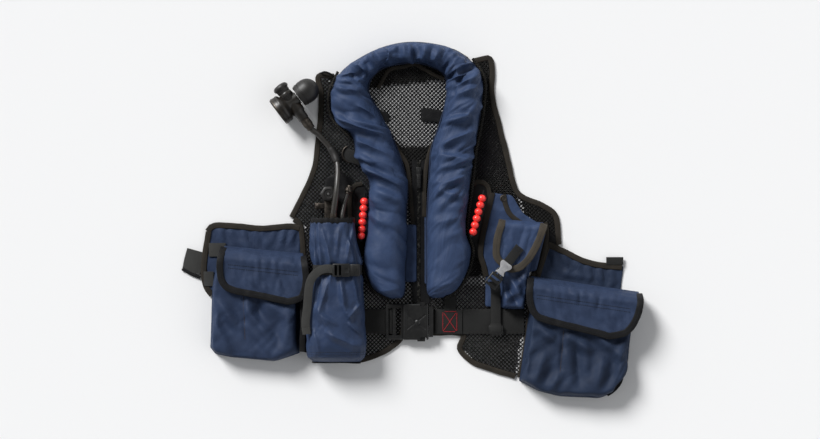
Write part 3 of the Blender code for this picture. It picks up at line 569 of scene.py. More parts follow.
def cloth_sheet(name, grid, mat, body, pinned, along=1.0, across=1.0, straight=False, pressure=2.0,
                bending=0.05, cap=12.0, thick=1.2, around=False, jitter=1.6,
                soften=1, seed=0.0, crumple=None):
    """A sheet over a grid of points (rows x columns x 3, millimetres) that the cloth solver wrinkles.

    The cloth is cut larger than its place by the factors along and across the rows, and with
    straight it is cut as a straight strip, so that a bend in it gathers on its inner side.
    pinned is a rows x columns array of how firmly each point is sewn down.
    """
    rows, columns, _ = grid.shape
    step_along = np.linalg.norm(np.diff(grid, axis=0), axis=2)
    step_across = np.linalg.norm(np.diff(grid, axis=1), axis=2)
    flat = grid.reshape(-1, 3)
    u = np.concatenate([np.zeros((rows, 1)), np.cumsum(step_across, axis=1)], axis=1)
    v = np.concatenate([np.zeros((1, columns)), np.cumsum(step_along, axis=0)], axis=0)
    uv = np.stack([u - u.mean(axis=1, keepdims=True), v], axis=2).reshape(-1, 2)
    obj = new_mesh(name, flat, grid_faces(rows, columns, around), mat, body, uv, 60.0,
                   recalc=False)
    rest = flat.copy()
    for i, p in enumerate(flat):
        shift = noise.noise_vector(Vector(p) / 23.0 + Vector((seed, 0, 0)))
        rest[i] = p + np.array(shift) * jitter * (1.0 - pinned.ravel()[i])
    start = rest.copy()
    if straight:
        longest = np.concatenate([[0], np.cumsum(step_along.max(axis=1))]) * along
        rest = np.stack([u * across, np.broadcast_to(longest[:, None], u.shape),
                         np.zeros_like(u)], axis=2).reshape(-1, 3)
    else:
        centre = flat.mean(axis=0)
        rest = centre + (rest - centre) * np.array([across, along, (across + along) / 2])
    obj.data.vertices.foreach_set("co", (start * MM).astype(np.float32).ravel())
    obj.shape_key_add(name="Basis")
    key = obj.shape_key_add(name="cut")
    key.data.foreach_set("co", (rest * MM).astype(np.float32).ravel())
    key.value = 0.0
    group = obj.vertex_groups.new(name="sewn")
    for i, weight in enumerate(pinned.ravel()):
        if weight > 0:
            group.add([i], float(weight), "REPLACE")
    fabric = obj.modifiers.new("fabric", "CLOTH")
    s = fabric.settings
    s.quality = 6
    s.mass = 0.12
    s.air_damping = 3.0
    s.tension_stiffness = s.compression_stiffness = 20.0
    s.shear_stiffness = 6.0
    s.bending_stiffness = bending
    s.tension_damping = s.compression_damping = s.shear_damping = 8.0
    s.vertex_group_mass = "sewn"
    s.pin_stiffness = 30.0
    s.rest_shape_key = key
    s.use_pressure = True
    s.uniform_pressure_force = pressure
    s.effector_weights.gravity = 0.0
    fabric.collision_settings.use_collision = False
    fabric.collision_settings.use_self_collision = False
    fabric.point_cache.frame_start = 1
    fabric.point_cache.frame_end = 60
    WAITING.append((obj, flat, cap, thick, pinned.ravel(), rows, columns, around, soften, crumple, seed))
    return obj


def finer(grid, around):
    """The grid with a point added between every two, on a smooth curve."""
    for axis in (0, 1):
        if axis:
            grid = grid.transpose(1, 0, 2)
        wrap = around and axis == 1
        if wrap:
            before, after = np.roll(grid, 1, axis=0), np.roll(grid, -1, axis=0)
            last = np.roll(grid, -2, axis=0)
            middle = (9 * (grid + after) - before - last) / 16
            out = np.empty((2 * len(grid), *grid.shape[1:]))
            out[::2], out[1::2] = grid, middle
        else:
            padded = np.concatenate([2 * grid[:1] - grid[1:2], grid, 2 * grid[-1:] - grid[-2:-1]])
            middle = (9 * (padded[1:-2] + padded[2:-1]) - padded[:-3] - padded[3:]) / 16
            out = np.empty((2 * len(grid) - 1, *grid.shape[1:]))
            out[::2], out[1::2] = grid, middle
        grid = out.transpose(1, 0, 2) if axis else out
    return grid


def grid_normals(grid, around):
    along = np.gradient(grid, axis=0)
    if around:
        across = np.roll(grid, -1, axis=1) - np.roll(grid, 1, axis=1)
    else:
        across = np.gradient(grid, axis=1)
    normal = np.cross(across, along)
    normal /= np.linalg.norm(normal, axis=2, keepdims=True) + 1e-9
    return normal


def creases(grid, strength, along, across, slant, seed, edges, around, folds=(), dent=9.0):
    """Sharp-edged crumples pushed out of a cloth: long one way and short the other, in millimetres."""
    normal = grid_normals(grid, around)
    if normal[len(grid) // 2, grid.shape[1] // 2, 2] < 0:
        normal = -normal
    s = np.concatenate([np.zeros((1, grid.shape[1])),
                        np.cumsum(np.linalg.norm(np.diff(grid, axis=0), axis=2), axis=0)])
    s[:] = s.mean(axis=1, keepdims=True)
    t = np.concatenate([np.zeros((grid.shape[0], 1)),
                        np.cumsum(np.linalg.norm(np.diff(grid, axis=1), axis=2), axis=1)], axis=1)
    rows, columns = grid.shape[:2]
    out = grid.copy()
    for r, c in np.argwhere(normal[..., 2] > 0.25) if folds else ():
        border = min(r, rows - 1 - r) if around else min(r, c, rows - 1 - r, columns - 1 - c)
        rise = max(-dent, fold_height(*grid[r, c, :2], folds, True))
        out[r, c, 2] += rise * min(1.0, border / (2 * edges))
    for r in range(rows):
        for c in range(columns):
            amount = strength(r / (rows - 1), c / (columns - 1), grid[r, c])
            if not around:
                amount *= min(1.0, (0.15 + min(c, columns - 1 - c) / edges))
            amount *= min(1.0, 0.1 + min(r, rows - 1 - r) / edges)
            if amount <= 0.02:
                continue
            tilt = slant(r / (rows - 1)) if callable(slant) else slant
            a, b = (s[r, c] + tilt * t[r, c]) / along, t[r, c] / across
            if around:
                angle = 2 * math.pi * c / columns
                a, b = s[r, c] / along, 0.0
                place = Vector((math.cos(angle) * across, math.sin(angle) * across, a + seed))
            else:
                place = Vector((a, b, seed))
            bend = noise.noise(place * 0.6 + Vector((5, 3, 1)))
            place += Vector((bend * 0.8, bend * 0.5, 0))
            fold = 1.0 - 2.4 * abs(noise.noise(place))
            small = 1.0 - 2.4 * abs(noise.noise(place * 2.3 + Vector((9, 4, 2))))
            out[r, c] -= normal[r, c] * amount * (fold * 0.8 + small * 0.28 - 0.15)
    return out


def simulate(frames=22):
    """Runs every waiting sheet, then gives each its wrinkled shape, thickness and smooth surface."""
    scene = bpy.context.scene
    scene.frame_start, scene.frame_end = 1, 60
    for number in range(1, frames + 1):
        scene.frame_set(number)
    for obj, flat, cap, thick, pinned, rows, columns, around, soften, crumple, seed in WAITING:
        points = flat.copy()
        graph = bpy.context.evaluated_depsgraph_get()
        mesh = obj.evaluated_get(graph).to_mesh()
        found = np.zeros(len(mesh.vertices) * 3, np.float32)
        mesh.vertices.foreach_get("co", found)
        obj.evaluated_get(graph).to_mesh_clear()
        moved = found.reshape(-1, 3).astype(float) / MM - flat
        distance = np.linalg.norm(moved, axis=1, keepdims=True) + 1e-9
        moved *= np.tanh(distance / cap) * cap / distance
        points = flat + moved
        obj.modifiers.clear()
        obj.shape_key_clear()
        grid = points.reshape(rows, columns, 3)
        for _ in range(soften):
            grid = grid + 0.25 * (relaxed(grid, around) - grid)
        if crumple:
            grid = finer(grid, around)
            flat_low = flat[:, 2].min()
            grid = creases(grid, seed=seed, around=around, **crumple)
            grid[..., 2] = np.maximum(grid[..., 2], flat_low)
            rebuild(obj, grid, around)
            thicken(obj, thick, 0)
        else:
            obj.data.vertices.foreach_set("co", (grid.reshape(-1, 3) * MM).astype(np.float32).ravel())
            obj.data.update()
            thicken(obj, thick)
    WAITING.clear()
    scene.frame_set(1)


def rebuild(obj, grid, around):
    """Gives a cloth piece the faces and points of a finer grid."""
    rows, columns, _ = grid.shape
    s = np.concatenate([np.zeros((1, columns)), np.cumsum(np.linalg.norm(np.diff(grid, axis=0), axis=2), axis=0)])
    t = np.concatenate([np.zeros((rows, 1)), np.cumsum(np.linalg.norm(np.diff(grid, axis=1), axis=2), axis=1)], axis=1)
    uv = np.stack([t, s], axis=2).reshape(-1, 2)
    mats = list(obj.data.materials)
    mesh = bpy.data.meshes.new(obj.name)
    mesh.from_pydata((grid.reshape(-1, 3) * MM).tolist(), [], grid_faces(rows, columns, around))
    layer = mesh.uv_layers.new(name="cloth")
    index = np.zeros(len(mesh.loops), np.int32)
    mesh.loops.foreach_get("vertex_index", index)
    layer.data.foreach_set("uv", (uv[index] * MM).astype(np.float32).ravel())
    for mat in mats:
        mesh.materials.append(mat)
    mesh.shade_smooth()
    obj.data = mesh


def relaxed(grid, around):
    """Each point of a grid moved to the mean of its neighbours, except at the borders."""
    out = grid.copy()
    out[1:-1] = (grid[:-2] + grid[2:]) / 2
    if around:
        across = (np.roll(grid, 1, axis=1) + np.roll(grid, -1, axis=1)) / 2
        return (out + across) / 2
    across = grid.copy()
    across[:, 1:-1] = (grid[:, :-2] + grid[:, 2:]) / 2
    return (out + across) / 2


def thicken(obj, thick, levels=1):
    solid = obj.modifiers.new("thickness", "SOLIDIFY")
    solid.thickness = thick * MM
    solid.offset = -1.0
    surface = obj.modifiers.new("smooth", "SUBSURF")
    surface.levels = surface.render_levels = levels
    surface.boundary_smooth = "PRESERVE_CORNERS"


def sheet_grid(left, right, rows, columns, lift):
    """A grid between two lines; lift(s, t) is the height in mm, s along and t across, both 0 to 1."""
    left, right = even(points3(left), rows), even(points3(right), rows)
    t = np.linspace(0, 1, columns)
    grid = left[:, None] * (1 - t)[None, :, None] + right[:, None] * t[None, :, None]
    s = np.linspace(0, 1, rows)
    grid[..., 2] += np.array([[lift(a, b) for b in t] for a in s])
    return grid


def border_pins(rows, columns, sides="NSEW", soft=0):
    """1 on the named borders of a grid and 0 inside: N is the first row, W the first column."""
    pins = np.zeros((rows, columns))
    if "N" in sides:
        pins[0] = 1
    if "S" in sides:
        pins[-1] = 1
    if "W" in sides:
        pins[:, 0] = 1
    if "E" in sides:
        pins[:, -1] = 1
    return pins


# ------------------------------------------------------------------ air hose, a free cord

VALVE = Vector((-235.4, 232.9, 29.4))
VALVE_AXIS = Vector((math.cos(math.radians(37)), math.sin(math.radians(37)), 0))
VALVE_CROSS = Vector((-VALVE_AXIS.y, VALVE_AXIS.x, 0))
HOSE_RADIUS = 5.75
HOSE_ROUTE = [
    (-151.5, -3.6, 43), (-151.5, 8, 43), (-150.2, 20, 43.8), (-147.5, 38, 45.2), (-145.5, 55, 45),
    (-143.8, 75, 40.5), (-143, 95, 32), (-144.8, 114, 23.5), (-151, 131, 18.6),
    (-161.5, 146, 17.8), (-173, 159, 20.2), (-184.5, 171.5, 25),
]


def air_hose():
    """The breathing hose, from the first stage's port to the demand valve's swivel nut."""
    ends = [tuple(VALVE + VALVE_CROSS * along) for along in (-69, -58)]
    line = smooth(HOSE_ROUTE + ends, 4.0)
    hose = sweep("breathing_hose", line, circle(HOSE_RADIUS, 24), HOSE_RUBBER)
    covered = [p for p in line if 112 < p[1] < 146]
    ends = [0.86, 0.97, 1.0] + [1.0] * (len(covered) - 6) + [1.0, 0.97, 0.86]
    sleeve = sweep("hose_grip_sleeve", covered, circle(8.6, 28), RUBBER, scale=ends)
    collars = []
    for at, radius in ((1, 7.4), (2, 7.4)):
        collars.append(sweep(f"crimp_{at}", line[at:at + 3], circle(radius, 24), DARK_METAL))
    crimp = join("hose_crimp", collars)
    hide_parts("air_hose")
    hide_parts("hose_sleeve")


# ------------------------------------------------------------------ nets, bindings and stitches

BACK_OUTLINE = [
    (-148, 283), (-187, 288), (-180, 245), (-187, 162), (-200, 91), (-242, 1), (-222, -10),
    (-216, -14), (-214, -262), (-140, -278), (-103, -286), (-56, -271), (-21, -248), (-12, -226),
    (8, -172), (30, -172), (38, -222), (107, -226), (103, -259), (123, -287), (157, -301),
    (213, -318), (226, -200), (234, -110), (255, -104), (272, -41), (303, -52), (300, -20),
    (294, 13), (266, 33), (227, 50), (212, 70), (200, 121), (181, 196), (168, 251), (168, 314),
    (163, 326), (149, 327), (118, 316), (75, 335), (7, 345), (-55, 335), (-105, 312),
]
FRONT_LEFT = [
    (-148, 283), (-187, 288), (-180, 245), (-187, 162), (-200, 91), (-242, 1), (-222, -10),
    (-216, -14), (-214, -262), (-140, -278), (-103, -286), (-56, -271), (-21, -248), (-12, -226),
    (14, -168), (14, 100), (-20, 150), (-60, 212), (-84, 258), (-104, 295),
]
FRONT_RIGHT = [
    (121, 317), (76, 265), (66, 212), (50, 150), (21, 100), (21, -168), (24, -172), (38, -222),
    (107, -226), (103, -259), (123, -287), (157, -301), (213, -318), (226, -200), (232, -110),
    (229, 0), (218, 55), (200, 121), (181, 196), (168, 251), (168, 314), (163, 326), (149, 327),
]


FRONT_RIGHT_LOW = [
    (21, -126), (21, -168), (24, -172), (38, -222), (101, -224), (96, -260), (119, -291), (156, -306),
    (222, -321), (238, -200), (246, -126),
]


def net(name, outline, z, thick=0.9, pitch=5.6, bar=2.0, replaces=(), inset=4.0, side=0, middle=17.5,
        shift=(0.0, 0.0)):
    """Knitted mesh: a diagonal lattice of flat threads with open holes, inside the outline.

    side is -1 or 1 for only what lies left or right of the middle, and 0 for all of it.
    """
    outline = np.array(outline, float)
    turn = math.sqrt(0.5)
    size = int(620 / pitch)
    ij = np.array([(i, j) for i in range(-size, size) for j in range(-size, size)])
    centre = np.stack([(ij[:, 0] - ij[:, 1]), (ij[:, 0] + ij[:, 1])], axis=1) * pitch * turn + shift
    low_corner, high_corner = outline.min(axis=0), outline.max(axis=0)
    near = ((centre > low_corner - 9) & (centre < high_corner + 9)).all(axis=1)
    ij, centre = ij[near], centre[near]
    keep = inside(centre, outline)
    for a, b in zip(outline, np.roll(outline, -1, axis=0)):
        run = (b - a) / max(1e-6, np.dot(b - a, b - a))
        t = np.clip((centre - a) @ run, 0, 1)
        keep &= np.linalg.norm(centre - a - t[:, None] * (b - a), axis=1) > inset
    cells = {tuple(c) for c in ij[keep]}
    own = {tuple(c) for c, p in zip(ij[keep], centre[keep]) if side == 0 or (p[0] > middle) == (side > 0)}
    half = bar / 2
    index, verts, faces = {}, [], []

    def corner(i, j, a, b):
        key = (i, j, a, b)
        if key not in index:
            x, y = i * pitch + a * half, j * pitch + b * half
            index[key] = len(verts)
            verts.append(((x - y) * turn + shift[0], (x + y) * turn + shift[1], z + thick / 2))
        return index[key]

    for i, j in sorted(own):
        faces.append([corner(i, j, *c) for c in ((-1, -1), (1, -1), (1, 1), (-1, 1))])
        if (i + 1, j) in cells:
            faces.append([corner(i, j, 1, -1), corner(i + 1, j, -1, -1), corner(i + 1, j, -1, 1),
                          corner(i, j, 1, 1)])
        if (i, j + 1) in cells:
            faces.append([corner(i, j, -1, 1), corner(i, j, 1, 1), corner(i, j + 1, 1, -1),
                          corner(i, j + 1, -1, -1)])
    obj = new_mesh(name, verts, faces, NET)
    solid = obj.modifiers.new("thickness", "SOLIDIFY")
    solid.thickness, solid.offset = thick * MM, 0.0
    for node in replaces:
        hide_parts(node)
    return obj


def tape(name, line, width=12.0, z=2.2, thick=4.4, mat=None, body="vest", closed=False, step=6.0,
         stitched=True, wobble=0.5, up=(0, 0, 1)):
    """A binding tape folded over an edge, slightly domed, with a row of stitches along it."""
    line = smooth(line, step, closed, z)
    shift = np.array([[noise.noise(Vector(p) / 31.0), noise.noise(Vector(p) / 27.0 + Vector((9, 0, 0))),
                       0.0] for p in line])
    line = line + shift * wobble * 2
    swell = [1.0 + 0.06 * noise.noise(Vector(p) / 12.0) for p in line]
    obj = sweep(name, line, rounded(width, thick, min(thick / 2, 1.8) * 0.95), mat or BINDING, body,
                closed, up, scale=swell)
    if stitched:
        top = line + np.array(up, float) * (thick / 2 + 0.05)
        stitches(name + "_stitches", [top], body=body)
    return obj


def stitches(name, lines, mat=None, body="vest", pitch=3.4, length=2.3, radius=0.34, up=(0, 0, 1)):
    """Rows of single stitches, each a little thread lozenge lying on the line."""
    verts, faces = [], []
    up = np.array(up, float)
    for line in lines:
        line = points3(line)
        steps = np.linalg.norm(np.diff(line, axis=0), axis=1)
        along = np.concatenate([[0], np.cumsum(steps)])
        for at in np.arange(pitch, along[-1] - pitch, pitch):
            a, b = (np.array([np.interp(at + d, along, line[:, i]) for i in range(3)])
                    for d in (-length / 2, length / 2))
            run = (b - a) / (np.linalg.norm(b - a) + 1e-9)
            side = np.cross(run, up)
            side /= np.linalg.norm(side) + 1e-9
            high_side = np.cross(side, run)
            base = len(verts)
            verts.append(a - high_side * radius * 0.6)
            for centre in (a * 0.72 + b * 0.28, a * 0.28 + b * 0.72):
                for c, s in ((1, 0), (0, 1), (-1, 0), (0, -1)):
                    verts.append(centre + side * radius * c + high_side * radius * s)
            verts.append(b - high_side * radius * 0.6)
            for k in range(4):
                n = (k + 1) % 4
                faces.append((base, base + 1 + n, base + 1 + k))
                faces.append((base + 1 + k, base + 1 + n, base + 5 + n, base + 5 + k))
                faces.append((base + 5 + k, base + 5 + n, base + 9))
    if not verts:
        return None
    return new_mesh(name, verts, faces, mat or THREAD_DARK, body, recalc=False)


def strap(name, line, width, thick, mat=None, body="vest", step=5.0, across=None,
          corner=None):
    """Webbing along a line, with rounded selvedges; across fixes the direction of its width."""
    line = smooth(line, step)
    tangent = np.gradient(line, axis=0)
    ups = (0, 0, 1)
    if across is not None:
        ups = np.cross(np.broadcast_to(np.array(across, float), line.shape), tangent)
        ups /= np.linalg.norm(ups, axis=1, keepdims=True)
    return sweep(name, line, rounded(width, thick, corner), mat or WEBBING, body, up=ups)


def patch(name, outline, z, thick, mat, body="vest", bulge=0.0, step=7.0, folds=()):
    """A flat cloth patch with a soft edge and slow waves, cut to an outline."""
    outline = np.array(outline, float)
    edge = even(np.vstack([outline, outline[:1]]), max(12, int(
        np.linalg.norm(np.diff(np.vstack([outline, outline[:1]]), axis=0), axis=1).sum() / step)))[:-1]
    form = bmesh.new()
    ring = [form.verts.new((x * MM, y * MM, z * MM)) for x, y in edge]
    form.faces.new(ring)
    bmesh.ops.triangulate(form, faces=form.faces, quad_method="BEAUTY", ngon_method="BEAUTY")
    for _ in range(4):
        long = [e for e in form.edges if e.calc_length() > step * 1.5 * MM]
        if not long:
            break
        bmesh.ops.subdivide_edges(form, edges=long, cuts=1)
        bmesh.ops.triangulate(form, faces=form.faces)
    bmesh.ops.beautify_fill(form, faces=form.faces, edges=form.edges)
    verts = np.array([tuple(v.co / MM) for v in form.verts])
    rim = np.array([v.is_boundary for v in form.verts])
    form.verts.ensure_lookup_table()
    form.verts.index_update()
    faces = [[v.index for v in f.verts] for f in form.faces]
    form.free()
    for k, p in enumerate(verts):
        if not rim[k]:
            wave = noise.noise(Vector((p[0], p[1], 0)) / 26.0) + 0.5 * noise.noise(Vector(p) / 11.0)
            p[2] += max(0.0, bulge * (0.55 + 0.75 * wave) + fold_height(p[0], p[1], folds))
    obj = new_mesh(name, verts, faces, mat, "vest" if body is None else body, verts[:, :2],
                   60.0)
    thicken(obj, thick)
    obj.modifiers["thickness"].offset = 1.0
    return obj


def vest():
    """The mesh vest itself: nets, their bindings, the neck facing and the dark lower edges."""
    for name, side in (("left", -1), ("right", 1)):
        net("back_net_" + name, BACK_OUTLINE, 0.3, replaces=("back_mesh",), inset=2.6, side=side)
    net("front_net_left", FRONT_LEFT, FRONT_Z, replaces=("front_mesh_left",), bar=1.5)
    upper = [(x, y) for x, y in FRONT_RIGHT if y > -130]
    net("front_net_right", [(21, -128), *upper[5:], *upper[:5]], FRONT_Z, replaces=("front_mesh_right",),
        bar=2.7, shift=(3.0, 1.0))
    net("front_net_right_low", FRONT_RIGHT_LOW, FRONT_Z, bar=1.8)
    net("armpit_net", [(212, 62), (227, 46), (262, 30), (290, 12), (297, -22), (298, -48), (262, -20), (224, 10)],
        FRONT_Z, bar=3.0, shift=(2.6, 1.2))

    edges = {
        "armhole_left": [(-152, 286), (-183, 286), (-177, 245), (-183, 162), (-195, 91), (-236, 4)],
        "side_left": [(-232, 0), (-219, -12), (-214, -60), (-212, -150), (-211, -244)],
        "side_right": [(220, -316), (229, -270), (238, -200), (245, -118), (256, -104), (270, -44)],
        "hem_left": [(-211, -240), (-208, -260), (-140, -274), (-103, -281), (-58, -267), (-24, -244),
                     (-15, -224), (4, -176)],
        "hem_right": [(42, -226), (104, -229), (99, -257), (122, -283), (157, -297), (210, -314)],
        "armhole_right": [(298, -50), (295, -20), (289, 11), (262, 29), (223, 46), (207, 70),
                          (195, 121), (176, 196), (164, 251), (164, 300), (160, 321), (149, 322),
                          (126, 316)],
    }
    for name, line in edges.items():
        tape(name, line, width=11.0)
    tape("neck_edge_back", [(-100, 314), (-55, 339), (7, 350), (75, 340), (114, 320)], 10.0)
    facing()


def facing():
    """The black mesh facing behind the neck, its binding and the two black patches."""
    inner = [(-64, 262), (-54, 280), (-40, 300), (-12, 305), (7.5, 311), (22, 304), (46, 291), (68, 280)]
    tape("neck_binding", inner, 8.0, z=5.4, thick=3.2, step=9.0)
    v_left = [(-32, 154), (-18, 130), (-6.5, 111), (-2, 85), (1, 50), (4, 12), (5.5, -10)]
    v_right = [(46, 154), (37, 126), (32.5, 108), (29.5, 71), (29, 40), (29, 6)]
    tape("neck_v_left", v_left, 8.5, z=6.2, thick=2.8)
    tape("neck_v_right", v_right, 8.5, z=6.2, thick=2.8)
    top = [(-92, 258), (-60, 264), (0, 271), (78, 281), (84, 300), (50, 322), (7, 330), (-50, 322), (-90, 290)]
    net("facing_net_top", top, 3.0, bar=3.0, shift=(2.0, 2.6), inset=1.0)
    bottom = [(-40, 147), (52, 147), (48, 100), (22, 60), (14, 60), (-16, 100)]
    net("facing_net_bottom", bottom, 3.0, bar=3.0, shift=(2.0, 2.6), inset=1.0)
    patch("black_patch_left", [(-61, 218), (-42, 216), (-41, 195), (-60, 194)], 2.4, 1.0, BLACK_CLOTH,
          bulge=0.6)
    patch("black_patch_right", [(20, 224), (64, 219), (68, 193), (23, 195)], 2.4, 1.0, BLACK_CLOTH,
          bulge=0.6)


# ------------------------------------------------------------------ buoyancy collar

COLLAR_EDGES = [
    ((-38, -158), (-19, -157)), ((-56, -150), (-12, -148)), ((-75, -133), (-10.5, -123)),
    ((-92, -90), (-9, -80)), ((-88, -30), (-8, -30)), ((-83.5, 26), (-7, 26)),
    ((-82, 76), (-6, 73)), ((-107, 122), (-20, 126)), ((-116, 165), (-37, 168)),
    ((-152, 203), (-52, 195)), ((-158, 249), (-64, 220)), ((-140, 292), (-83, 256)), ((-102, 322), (-75, 285)),
    ((-50, 346), (-47, 305)), ((7.5, 355), (7.5, 313)), ((75, 345), (50, 303)),
    ((121, 318), (70, 286)), ((143, 285), (74, 262)), ((145, 245), (70, 230)),
    ((139, 195), (60, 192)), ((128, 140), (43, 142)), ((123, 92), (38, 80)),
    ((117, 40), (35, 26)), ((111, -20), (34, -30)), ((122, -62), (34, -80)),
    ((113, -106), (34, -123)), ((92, -140), (36, -148)), ((66, -156), (46, -157)),
]
# Pinched seams across the collar: where along the pairs above, how wide and how deep.
COLLAR_PINCHES = [(11.6, 0.10, 0.30), (12.6, 0.10, 0.22), (14.0, 0.10, 0.46), (15.2, 0.08, 0.2), (16.3, 0.12, 0.36)]
# Soft folds pressed into the cloth: two ends, width and height, in millimetres.
COLLAR_FOLDS = [
    ((-150, 200), (-58, 168), 8, 4.5), ((-140, 168), (-44, 130), 9, 5.0), ((-124, 132), (-30, 104), 7, 4.0),
    ((-96, 104), (-14, 64), 8, 4.5), ((-80, 62), (-12, 34), 7, 3.5), ((-78, 8), (-20, -24), 9, 2.5),
    ((136, 214), (64, 190), 8, 4.0), ((132, 176), (60, 150), 7, 4.0), ((122, 118), (46, 132), 7, 3.5),
    ((120, 88), (44, 70), 8, 4.0), ((112, 44), (48, 60), 7, 3.0), ((114, 8), (44, -8), 8, 2.5),
    ((-152, 262), (-90, 252), 6, 4.0), ((96, 300), (84, 262), 6, 3.0), ((140, 262), (78, 246), 7, 3.5),
    ((-156, 279), (-92, 286), 4, -4.5), ((-118, 318), (-74, 282), 7, 5.0), ((-84, 336), (-58, 296), 6, 4.5),
    ((-46, 344), (-40, 306), 6, 5.0), ((-20, 350), (-22, 316), 5, -4.0), ((6, 352), (4, 322), 6, 5.0),
    ((34, 348), (24, 312), 5, 4.5), ((58, 340), (46, 302), 6, 5.0), ((82, 326), (60, 290), 5, -4.0),
    ((112, 306), (72, 274), 7, 5.0), ((130, 284), (78, 258), 6, 4.5), ((-106, 226), (-62, 208), 7, 4.0),
]


def fold_height(x, y, folds, sharp=False):
    """How much the pressed-in folds raise (or with a negative height, dent) the cloth at a point."""
    total = 0.0
    for (ax, ay), (bx, by), width, height in folds:
        dx, dy = bx - ax, by - ay
        t = ((x - ax) * dx + (y - ay) * dy) / (dx * dx + dy * dy)
        if -0.3 < t < 1.3:
            off = abs((x - ax) * dy - (y - ay) * dx) / math.hypot(dx, dy)
            ends = math.exp(-max(0.0, -t, t - 1) * 9) * math.sin(math.pi * min(1, max(0, 0.12 + t * 0.8)))
            crest = math.exp(-abs(off) / (0.75 * width)) if sharp else math.exp(-(off / width) ** 2)
            total += height * ends * (crest - 0.45 * math.exp(-((off - 1.9 * width) / width) ** 2))
    return total


def collar_height(index):
    last = len(COLLAR_EDGES) - 1
    from_end = min(index, last - index)
    rounding = min(1.0, (from_end / 1.6 + 0.04)) ** 0.6
    behind_neck = math.exp(-(((index - last / 2) / 3.0) ** 2))
    height = (COVER_TOP - COVER_Z - 1.0) * rounding * (1.0 - 0.24 * behind_neck)
    for at, wide, deep in COLLAR_PINCHES:
        height *= 1.0 - deep * math.exp(-(((index - at) / wide) ** 2))
    return height


def collar_crumple(s, t, p):
    """The cloth is crumpled round the neck and over the chest, and smoother on the lower lobes."""
    lower = min(1.0, max(0.0, (p[1] + 70) / 150))
    return 2.0 + 7.0 * lower


def collar():
    """The buoyancy collar's cover, its back, the burst-zip teeth round its outer edge."""
    roll = smooth([
        (-27, -128), (-26, -60), (-25, 20), (-27, 75), (-47, 125), (-75, 180), (-100, 228), (-106, 270),
        (-84, 305), (-46, 325), (7, 333), (60, 325), (96, 300), (108, 262), (106, 215), (93, 160), (72, 105),
        (56, 50), (52, -10), (52, -70), (55, -126)], 8.0, z=COVER_Z + 8.0)
    pleats = [1.0 + 0.12 * math.sin(5 * k * 0.37) for k in range(len(roll))]
    cell = sweep("folded_bladder", roll, rounded(20.0, 11.0, 4.0), BLADDER, scale=pleats)
    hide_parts("bladder")
    pairs = np.array([(a[0], a[1], b[0], b[1]) for a, b in COLLAR_EDGES], float)
    line = []
    count = 9
    padded = np.vstack([2 * pairs[:1] - pairs[1:2], pairs, 2 * pairs[-1:] - pairs[-2:-1]])
    for k in range(len(pairs) - 1):
        a, b, c, d = padded[k:k + 4]
        for i in range(count):
            t = i / count
            line.append((k + t, *(0.5 * (2 * b + (c - a) * t + (2 * a - 5 * b + 4 * c - d) * t * t
                                         + (3 * b - a - 3 * c + d) * t**3))))
    line.append((len(pairs) - 1, *pairs[-1]))
    rows, columns = len(line), 25
    grid = np.zeros((rows, columns, 3))
    for r, (index, ox, oy, ix, iy) in enumerate(line):
        rise = collar_height(index)
        for c in range(columns):
            angle = math.pi * c / (columns - 1)
            across = 0.5 - 0.5 * math.copysign(abs(math.cos(angle)) ** 0.72, math.cos(angle))
            up = max(0.0, math.sin(angle)) ** 0.66
            x, y = ox + (ix - ox) * across, oy + (iy - oy) * across
            grid[r, c] = x, y, COVER_Z + 0.8 + up * (rise + fold_height(x, y, COLLAR_FOLDS))
    pins = border_pins(rows, columns)
    for at, wide, deep in COLLAR_PINCHES:
        row = int(at * count)
        pins[row] = np.maximum(pins[row], 0.9)
    cover = cloth_sheet("collar_cover_cloth", grid, NAVY, "vest", pins, along=1.06, across=1.0,
                        straight=True, pressure=2.6, bending=0.01, cap=8.0, thick=1.4, seed=2.0,
                        crumple=dict(strength=collar_crumple, along=34.0, across=90.0, edges=4, folds=COLLAR_FOLDS,
                                     slant=lambda share: 0.55 * math.cos(math.pi * share)))
    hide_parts("collar_cover")
    back = sheet_grid(smooth([a for a, b in COLLAR_EDGES], 6.0, z=COVER_Z - 0.9),
                      smooth([b for a, b in COLLAR_EDGES], 6.0, z=COVER_Z - 0.9), 150, 9,
                      lambda s, t: -0.25 * math.sin(s * 60) * math.sin(math.pi * t))
    flat = new_mesh("collar_back_cloth", back.reshape(-1, 3), grid_faces(150, 9), NAVY_DEEP,
                    uv=back.reshape(-1, 3)[:, :2], recalc=False)
    thicken(flat, 1.3, 0)
    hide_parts("collar_back")
    rim = [((ox - ix) * (1 + 4.5 / math.hypot(ox - ix, oy - iy)) + ix, (oy - iy) * (
        1 + 4.5 / math.hypot(ox - ix, oy - iy)) + iy) for (ox, oy), (ix, iy) in COLLAR_EDGES]
    burst_zip("burst_zip_left", rim[:4])
    burst_zip("burst_zip_shoulder", rim[8:12])
    burst_zip("burst_zip_right", rim[16:])
    piping = [b for a, b in COLLAR_EDGES]
    tape("collar_inner_seam", piping, 3.4, z=COVER_Z + 1.0, thick=3.0, mat=NAVY_DEEP, stitched=False)


